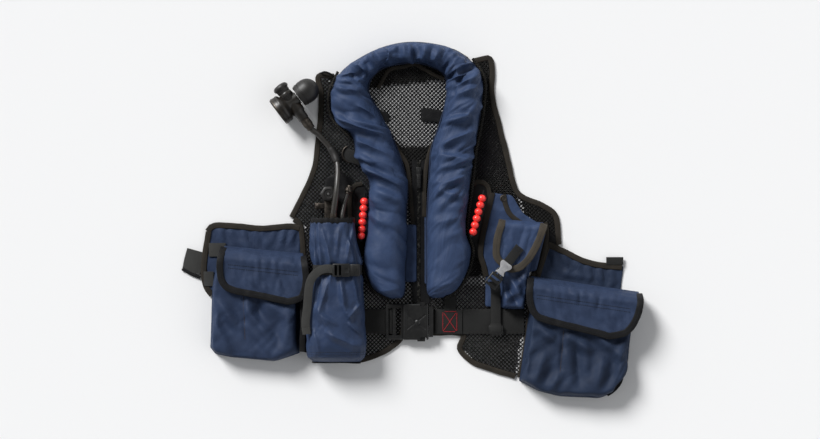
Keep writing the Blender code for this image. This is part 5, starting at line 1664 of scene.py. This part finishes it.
def demand_valve():
    def axis(name, profile, mat, body="vest", **more):
        return revolve(name, profile, VALVE, VALVE_AXIS, mat, body, **more)

    def cross(name, profile, mat, body="vest", **more):
        return revolve(name, profile, VALVE, VALVE_CROSS, mat, body, **more)

    drum = axis("valve_drum", [
        (16.0, 10.5), (16.0, 12.6), (14.5, 13.0), (-6.0, 14.6), (-9.0, 17.0), (-13.5, 22.6), (-15.5, 26.2),
        (-17.5, 28.3), (-19.5, 28.9), (-22.0, 29.0), (-22.5, 28.2), (-23.3, 28.2), (-23.8, 29.0),
        (-30.0, 29.0), (-32.6, 28.6), (-34.0, 27.6), (-34.2, 26.2), (-33.0, 25.3), (-29.0, 25.2), (-29.0, 0.0),
    ], BODY_BROWN, steps=64, slot="black_plastic")
    barrel = cross("valve_barrel", [
        (23.6, 0.0), (23.6, 11.8), (22.6, 12.6), (20.0, 13.4), (14.5, 13.6), (-20.0, 13.6), (-24.5, 13.2),
        (-27.5, 11.0), (-33.0, 10.6), (-41.6, 10.4), (-41.6, 6.9), (-50.0, 6.9), (-50.0, 0.0),
    ], BODY_BROWN, steps=40, slot="black_plastic")
    housing = join("demand_valve_housing", [drum, barrel])
    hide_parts("demand_valve_body")
    rings = []
    for k in range(5):
        x = 16.2 - k * 2.6
        rings.append(cross(f"barrel_rib_{k}", [(x - 0.8, 13.2), (x - 0.6, 14.3), (x + 0.6, 14.3), (x + 0.8, 13.2)],
                           RUBBER, steps=40))
    join("valve_barrel_ribs", rings)
    axis("drum_rim_ring", [(-31.4, 28.7), (-31.0, 29.5), (-29.4, 29.6), (-28.8, 28.7), (-31.4, 28.7)], DARK_METAL, steps=64)
    cap = cross("exhaust_cap_rubber", [
        (42.0, 0.0), (42.2, 6.0), (41.6, 10.5), (40.2, 13.2), (37.8, 15.0), (35.0, 15.6), (33.0, 15.2),
        (31.4, 13.8), (30.0, 13.2), (26.0, 12.8), (24.0, 12.4), (24.0, 0.0),
    ], RUBBER, steps=44, slot="black_rubber",
        ripple=lambda a, x: 1 + (0.012 * math.cos(18 * a) if x > 32 else 0))
    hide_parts("exhaust_cap")
    face = [axis("purge_face", [(-32.0, 23.9), (-33.0, 23.9), (-34.0, 23.3), (-34.2, 18.0), (-33.4, 16.8),
                                (-33.4, 9.0), (-34.0, 8.0), (-34.3, 0.0)], STEEL, "purge", steps=56)]
    purge = face[0]
    slot_turn = Matrix.Translation(VALVE - VALVE_AXIS * 34.2) @ Vector((0, 0, 1)).rotation_difference(
        VALVE_AXIS).to_matrix().to_4x4()
    cut(purge, rounded_box("slot", (-13, -1.6, -2), (13, 1.6, 1.0), STEEL, bevel=0.6, matrix=slot_turn))
    finish_piece(purge, STEEL, "purge", 35)
    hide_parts("purge_button")
    lip = axis("mouthpiece_rubber", [(38.0, 0.0), (38.0, 11.0), (37.0, 12.0), (31.0, 12.0), (29.8, 11.2),
                                     (28.6, 9.2), (16.6, 9.0), (16.6, 0.0)], RUBBER, steps=32)
    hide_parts("mouthpiece")
    middle, radius = 38.0, 24.2
    outer = [(middle + radius * math.cos(a), radius * math.sin(a)) for a in np.linspace(0.0, 1.5708, 16)]
    inner = [(middle + (radius - 2) * math.cos(a), (radius - 2) * math.sin(a)) for a in np.linspace(1.5708, 0.0, 12)]
    skirt = [(33.0, 24.2), (28.6, 23.8), (27.8, 23.0), (26.8, 23.0), (26.0, 23.8), (23.0, 23.2), (19.2, 21.6),
             (17.8, 21.4), (17.5, 20.6), (17.6, 19.2), (24.0, 21.0), (33.0, 22.1)]
    cover = axis("mouthpiece_cover_rubber", outer + skirt + inner, RUBBER, "ball_cover", steps=56)
    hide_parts("mouthpiece_cover")
    nut = cross("swivel_nut_metal", [
        (-42.0, 7.1), (-42.0, 9.0), (-42.8, 9.7), (-44.6, 9.7), (-45.2, 9.1), (-46.6, 9.1), (-47.2, 9.7),
        (-56.5, 9.7), (-58.0, 9.0), (-60.0, 8.4), (-65.4, 8.2), (-66.0, 7.6), (-66.0, 7.1), (-42.0, 7.1),
    ], DARK_METAL, "nut", steps=60, ripple=lambda a, x: 1 + (0.03 * math.cos(6 * a) if -57 < x < -46.9 else 0))
    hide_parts("swivel_nut")


def first_stage():
    """The pressure-reducing valve in the pouch's mouth, its pillar, lever block and lobed knob."""
    a, b = low("first_stage"), high("first_stage")
    pieces = [rounded_box("stage_block", (-170, -49, a[2] + 1), (-126, -8, b[2] - 1), DARK_METAL, bevel=4.5,
                          segments=5)]
    port = [(0, 9.5), (5.5, 9.5), (6.3, 8.8), (6.3, 6.4), (7.4, 6.4), (7.4, 0)]
    pieces.append(revolve("stage_port", port, (-151.5, -11.2, 43), (0, 1, 0), DARK_METAL, steps=6))
    pieces.append(revolve("stage_port_small", [(0, 7.4), (6, 7.4), (6.8, 6.6), (6.8, 0)], (-134.5, -11, 36),
                          (0, 1, 0), DARK_METAL, steps=6))
    pieces.append(revolve("stage_cap", [(0, 14), (1.5, 14.6), (4.5, 14.6), (5.5, 13.6), (5.8, 9), (5.8, 0)],
                          (-148, -27, b[2] - 3.6), (0, 0, 1), DARK_METAL, steps=36,
                          ripple=lambda t, x: 1 + 0.02 * math.cos(24 * t)))
    pieces.append(rounded_box("pillar", (-170.5, -28, 12.5), (-154.5, 62, 27.6), DARK_METAL, bevel=3.0,
                              segments=4))
    pieces.append(revolve("pillar_end", [(-7.6, 0), (-7.6, 10.4), (-6.4, 11.6), (5.6, 11.6), (6.8, 10.6), (7.4, 9),
                                         (7.4, 0)], (-162, 51, 20.5), (0, 0, 1), DARK_METAL, steps=36))
    pieces.append(rounded_box("lever_block", (-189.5, 20.5, 13.2), (-167, 33.5, 23.8), DARK_METAL, bevel=2.2,
                              segments=4))
    pieces.append(revolve("lever_pin", [(-0.6, 0), (-0.6, 3.6), (1.6, 3.6), (2.0, 3.0), (2.0, 0)],
                          (-183, 27, 23.6), (0, 0, 1), DARK_METAL, steps=20))
    stage_piece = join("first_stage_metal", pieces)
    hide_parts("first_stage")
    finish_piece(stage_piece, DARK_METAL, "vest", 35)

    z = low("valve_knob")[2]
    lobes = lambda angle, x: 1.0 + 0.075 * math.cos(6 * angle) * min(1.0, max(0.0, 1.2 - abs(x - 5) / 6))
    knob = revolve("knob_rubber", [(0.2, 3.6), (0.2, 12.6), (1.2, 14.4), (3.0, 15.2), (7.0, 15.2), (8.8, 14.4),
                                   (9.9, 12.4), (10.0, 9.0), (8.6, 7.8), (8.6, 3.6), (0.2, 3.6)],
                   (-162, 51, z), (0, 0, 1), RUBBER, "knob", 72, ripple=lobes)
    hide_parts("valve_knob")
    revolve("knob_spindle", [(-6, 2.8), (7.8, 2.8), (8.6, 2.2), (8.7, 0)], (-162, 51, z), (0, 0, 1), STEEL,
            "vest", 24, slot="bare_metal")

    short = smooth([(-134.5, -3.6, 36), (-134.5, 7, 36), (-132.5, 20, 33), (-129, 35, 28), (-124.6, 50, 24)], 3.0)
    hose = sweep("fill_hose_rubber", short, circle(4.5, 20), HOSE_RUBBER)
    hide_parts("fill_hose")
    run = Vector(short[-1] - short[-2]).normalized()
    fitting = revolve("fill_fitting_metal", [
        (0.4, 4.6), (0.4, 5.2), (1.2, 5.9), (2.2, 5.9), (2.8, 5.2), (3.8, 5.2), (4.4, 6.6), (5.0, 7.0), (12, 7.0),
        (12.8, 6.4), (13.4, 5.2), (14.4, 5.2), (15, 5.9), (17.2, 5.9), (17.8, 5.2), (18, 3.4), (15, 3.2), (15, 0),
    ], tuple(short[-1]), run, DARK_METAL, steps=36,
        ripple=lambda t, x: 1 + (0.04 * math.cos(12 * t) if 4.6 < x < 12.4 else 0))
    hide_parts("fill_fitting")


# ------------------------------------------------------------------ small pouch and side pocket

SMALL_POUCH_Z = low("small_pouch")[2]
SMALL_TOP = high("small_pouch")[2]
BUCKLE = Vector((184.5, -97, 0))
BUCKLE_TURN = math.radians(232)


def side_pocket():
    top_z = high("side_pocket_right")[2]
    cloth = patch("side_pocket_cloth", [
        (165, 53), (204, 48), (226, 12), (268, -15), (270, -30), (252, -102), (231, -106), (229, -176),
        (150, -174), (151, -113), (140, -62)], low("side_pocket_right")[2] + 0.6, 1.6, NAVY, bulge=2.2, step=6.0)
    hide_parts("side_pocket_right")
    tape("side_pocket_edge", [(165, 53), (152, 0), (141, -62), (147, -92), (152, -113)], 11.0, z=9.4, thick=3.2)
    tape("side_pocket_mouth", [(187, 50), (190, 30), (200, 10), (224, -8), (262, -24)], 10.0, z=9.6, thick=3.2)
    ring = revolve("eyelet_metal", [(0.2, 6.4), (1.0, 6.7), (1.7, 6.0), (1.9, 5.0), (1.6, 3.8), (0.8, 3.2), (0.0, 3.2),
                                    (0.0, 6.2), (0.2, 6.4)], (186, 42, top_z + 0.4), (0, 0, 1), DARK_METAL,
                   steps=32)
    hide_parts("grommet")
    strap("small_pouch_web", [(211, -50, 12.0), (212, -79, 12.0)], 19.0, 1.8, across=(1, 0, 0))


def small_pouch():
    folds = [((196, -112), (226, -164), 7, 3.5), ((188, -122), (216, -176), 7, -2.5), ((230, -112), (196, -150), 8, 3.0),
             ((186, -160), (224, -140), 7, 3.0)]
    body = bag("small_pouch_bag", [(182, -14), (220, -16), (257, -18)], [(257, -18), (240, -90), (227, -177)],
               [(186, -176), (206, -178), (227, -177)], [(182, -14), (166, -62), (172, -95), (184, -130), (186, -176)],
               SMALL_POUCH_Z, SMALL_TOP - 1, NAVY_SHINY, lean=6.0, step=5.0, folds=folds, cap=6.0, pressure=3.0, seed=31.0,
               slack=1.08)
    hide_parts("small_pouch")
    puckers = [((206, -14), (202, -74), 5, 2.0), ((236, -18), (216, -84), 6, 2.0), ((190, -30), (196, -70), 5, 1.6)]
    flap, grid = flap_sheet("small_flap_cloth", ((184, -1), (266, -8)), ((172, -90), (220, -101)), 6.0, SMALL_DROP,
                            "small_flap", puckers, step=4.5, seed=37.0, mat=NAVY, corner=24.0)
    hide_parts("small_pouch_flap")
    flap_edges("small_flap", grid, "small_flap", 14.5, thick=6.0, mat=BINDING_OLIVE)

    lower = [(167, -122, 43.0), (168, -131, 41.4), (170, -138, 28.0), (171, -146, 15.0), (171, -158, 12.4),
             (171, -200, 12.2), (171, -231, 12.2)]
    web = strap("pouch_lower_webbing", lower, 20.0, 1.9, across=(1, 0, 0))
    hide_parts("pouch_lower_strap")
    keeper = rounded_box("keeper_bar", (156.5, -228.5, 13.8), (185.5, -211.5, 16.4), PLASTIC, bevel=1.2)
    strap("keeper_fold", [(171, -208, 13.6), (171, -220, 17.4), (171, -231, 13.6)], 22.0, 1.8, across=(1, 0, 0))
    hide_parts("strap_keeper")

    place = Matrix.Translation(BUCKLE) @ Matrix.Rotation(BUCKLE_TURN, 4, "Z")
    z = low("small_buckle_female")[2]
    half = [(-14, 10.5), (-11.5, 12.6), (-7, 12.4), (-3, 10.4), (1, 7.4), (5, 6.6), (8.5, 7.6), (11, 9.6), (13, 10.4)]
    outline = half + [(x, -y) for x, y in reversed(half)]
    hood = extruded("grey_hood", outline, z + 6.9, z + 9.0, PLASTIC_GREY, "small_flap", place, 1.2)
    sides = [extruded("grey_wall", [(x, y) for x, y in pts], z + 0.4, z + 8.0, PLASTIC_GREY, "small_flap", place, 0.8)
             for pts in ([(-14, -10.5), (-11.6, -10.5), (-11.6, 10.5), (-14, 10.5)],
                         [(-12, 12.4), (-7, 12.2), (-3, 10.2), (-3.6, 8.6), (-7.4, 10.4), (-12, 10.6)],
                         [(-12, -10.6), (-7.4, -10.4), (-3.6, -8.6), (-3, -10.2), (-7, -12.2), (-12, -12.4)])]
    ring = [rounded_box("grey_ridge", (x, -5.5, z + 8.6), (x + 1.4, 5.5, z + 9.5), PLASTIC_GREY, "small_flap", 0.5,
                        matrix=place) for x in (-9.5, -6.5)]
    hood = join("small_buckle_hood", [hood, *sides, *ring])
    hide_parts("small_buckle_female")
    male = rounded_box("lock_frame", (16, -13, z + 0.6), (44, 13, z + 6.2), PLASTIC, "small_male", 1.8, 4, place)
    for x0, x1 in ((22.5, 27), (33, 38.5)):
        cut(male, rounded_box("slot", (x0, -10.2, z - 4), (x1, 10.2, z + 12), PLASTIC, bevel=0.8, matrix=place))
    prongs = [rounded_box("prong", (4, y - 2.0, z + 1.4), (20, y + 2.0, z + 5.2), PLASTIC, "small_male", 1.0, 3, place)
              for y in (-7.4, 0.0, 7.4)]
    male = join("small_buckle_tongue", [male, *prongs])
    finish_piece(male, PLASTIC, "small_male", 35)
    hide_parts("small_buckle_male")
    tab = [tuple(place @ Vector(p)) for p in ((-54, 0, 43.6), (-40, 0, 44.0), (-26, 0, 44.4), (-13, 0, z + 3.4))]
    strap("flap_buckle_web", tab, 19.0, 1.9, WEBBING, "small_flap")
    inner = [tuple(place @ Vector((x, y, 45.2))) for x, y in ((-51, -7), (-37, -7), (-37, 7), (-51, 7))]
    stitches("flap_web_stitches", [[a, b] for a, b in zip(inner, inner[1:] + inner[:1])] + [
        [inner[0], inner[2]], [inner[1], inner[3]]], THREAD_DARK, "small_flap", pitch=2.8)


def extruded(name, outline, z0, z1, mat, body, matrix, bevel):
    """A plate of the given outline with rounded edges."""
    form = bmesh.new()
    face = form.faces.new([form.verts.new((x, y, z0)) for x, y in outline])
    out = bmesh.ops.extrude_face_region(form, geom=[face])
    bmesh.ops.translate(form, vec=(0, 0, z1 - z0), verts=[v for v in out["geom"] if isinstance(v, bmesh.types.BMVert)])
    bmesh.ops.recalc_face_normals(form, faces=form.faces)
    bmesh.ops.bevel(form, geom=form.edges, offset=bevel * 0.6, segments=3, profile=0.5, affect="EDGES")
    bmesh.ops.transform(form, matrix=matrix, verts=form.verts)
    bmesh.ops.scale(form, vec=(MM, MM, MM), verts=form.verts)
    mesh = bpy.data.meshes.new(name)
    form.to_mesh(mesh)
    form.free()
    obj = bpy.data.objects.new(name, mesh)
    bpy.context.scene.collection.objects.link(obj)
    return finish_piece(obj, mat, body, 35.0)


# ------------------------------------------------------------------ yokes, tabs and tether


def puckers(spots, width, height):
    """Short folds, side by side, that a binding's stitches pull into the cloth below it."""
    return [((x, y), (x + dx, y - depth), width, height) for x, y, dx, depth in spots]


def yokes():
    left = patch("yoke_left_cloth", [
        (-402, -22), (-388, -9), (-294, -16), (-244, -11), (-220, -15), (-218, -150), (-396, -150), (-410, -133),
        # The left yoke takes the navy nylon darkened with painted shade.
        (-414, -104)], 0.7, 1.6, NAVY_PAINTED_SHADE, bulge=1.6, step=4.5, folds=puckers(
            [(-382, -18, 14, 34), (-362, -20, 12, 24), (-336, -22, 16, 32), (-312, -22, 12, 26), (-296, -24, 14, 34),
             (-270, -22, -10, 30), (-250, -20, -12, 38), (-232, -20, -10, 34), (-352, -44, 40, 14)], 7, 3.6))
    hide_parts("yoke_left")
    tape("yoke_left_top", [(-404, -24), (-390, -12), (-340, -14), (-294, -18), (-244, -13.5), (-221, -17)], 12.0, z=3.0)
    tape("yoke_left_side", [(-402, -24), (-409, -64), (-412, -104), (-407, -134), (-396, -150)], 12.0, z=3.0)
    right = patch("yoke_right_cloth", [
        # The right yoke takes the navy nylon darkened further with painted shade.
        (276, -49), (305, -61), (350, -82), (387, -90), (427, -93), (421, -140), (414, -160), (250, -150),
        (258, -107)], 0.7, 1.6, NAVY_DEEPER_PAINTED_SHADE, bulge=1.6, step=4.5, folds=puckers(
            [(284, -62, 14, 44), (306, -70, 12, 36), (330, -82, 16, 34), (352, -92, 12, 30), (376, -98, 10, 32),
             (400, -100, 6, 34), (300, -104, 60, 16)], 7, 3.6))
    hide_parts("yoke_right")
    tape("yoke_right_top", [(276, -51), (305, -63), (350, -84), (387, -92), (424, -95)], 12.0, z=3.0)
    tape("yoke_right_side", [(276, -52), (266, -80), (258, -107), (252, -128)], 10.0, z=2.8)
    strap("right_web_fold", [(392, -83, 5.2), (426, -83, 5.4)], 16.0, 1.8)
    strap("left_web_upper", [(-385, -47, 5.4), (-385, -74, 5.4)], 34.0, 1.9, WEBBING_GREY,
          across=(1, 0, 0))
    strap("left_web_lower", [(-402, -104, 5.4), (-402, -133, 5.4)], 20.0, 1.9, WEBBING_GREY,
          across=(1, 0, 0))


def armpit():
    """The dark cloth that closes the side of the jacket behind the right yoke and small pouch."""
    patch("armpit_cloth", [(236, -2), (262, -6), (300, -34), (296, -60), (276, -58), (262, -112), (244, -112)],
          0.8, 1.4, BLACK_CLOTH, bulge=0.8)
    tape("armpit_binding", [(270, -6), (273, -30), (268, -66), (256, -108)], 9.0, z=4.4)


def tabs():
    """The webbing loop and its ring, the bindings by the beads and the shoulder tether."""
    strap("shoulder_tab", [(-134, 134, 8.6), (-124, 129, 10.2), (-110, 124, 10.0), (-98, 120, 8.8)], 26.0, 2.2)
    ring = smooth([(-126, 146, 11), (-133, 139, 12), (-134.5, 128, 12.4), (-129, 118, 12), (-121, 113, 11)], 3.0)
    sweep("shoulder_tab_ring", ring, circle(1.5, 12), DARK_METAL)
    patch("handle_backing_left", [(-122, 66), (-96, 74), (-84, 56), (-86, -30), (-94, -72), (-112, -74), (-118, 0)],
          4.6, 1.2, BLACK_CLOTH, bulge=1.4)
    patch("stage_backing", [(-168, 84), (-140, 96), (-118, 84), (-104, 62), (-112, 20), (-122, -4), (-168, -4), (-176, 40)],
          3.2, 1.2, BLACK_CLOTH, bulge=1.6)
    patch("handle_backing_right", [(122, 78), (148, 82), (164, 58), (152, -30), (140, -78), (118, -72), (114, 0)],
          4.6, 1.2, BLACK_CLOTH, bulge=1.4)
    for number, line in enumerate((
            [(-96, 72, 7.6), (-112, 66, 7.6), (-120, 44, 7.6), (-119, 0, 7.6), (-114, -40, 7.6)],
            [(118, 66, 7.6), (136, 76, 7.6), (154, 68, 7.6), (160, 44, 7.6)])):
        tape(f"handle_guard_{number}", line, 9.0, z=0, thick=2.6)
    cord = smooth([(-150, 284, 8), (-160, 291, 12), (-170, 294, 12), (-178, 292, 7)], 3.0)
    sweep("shoulder_tether", cord, circle(2.0, 12), BLACK_CLOTH)


# ------------------------------------------------------------------ CAD nodes that are shown


def paint_nodes():
    finishes = {
        "bladder": BLADDER, "oral_tube": RUBBER, "gas_cylinder_left": STEEL, "gas_cylinder_right": STEEL,
        "inflator_left": PLASTIC, "inflator_right": PLASTIC, "inflator_lever_left": PLASTIC_GREY,
        "inflator_lever_right": PLASTIC_GREY, "breathing_bottle": BOTTLE_PAINT, "waist_buckle_male": PLASTIC,
        "waist_latch_upper": PLASTIC, "waist_latch_lower": PLASTIC,
    }
    for name, obj in NODES.items():
        if obj.hide_render:
            continue
        obj.data.materials.clear()
        obj.data.materials.append(finishes.get(name, PLASTIC))


# ------------------------------------------------------------------ build

stage()
air_hose()
vest()
collar()
large_pockets()
bottle_pouch()
small_pouch()
simulate()
lay_stitches()
pouch_straps()
waist_belt()
waist_buckle()
front_zip()
bead_handle("left", (-91.0, 36.0), (-97.0, -32.5))
bead_handle("right", (143.0, 42.0), (125.5, -24.5))
demand_valve()
first_stage()
side_pocket()
yokes()
armpit()
tabs()
paint_nodes()
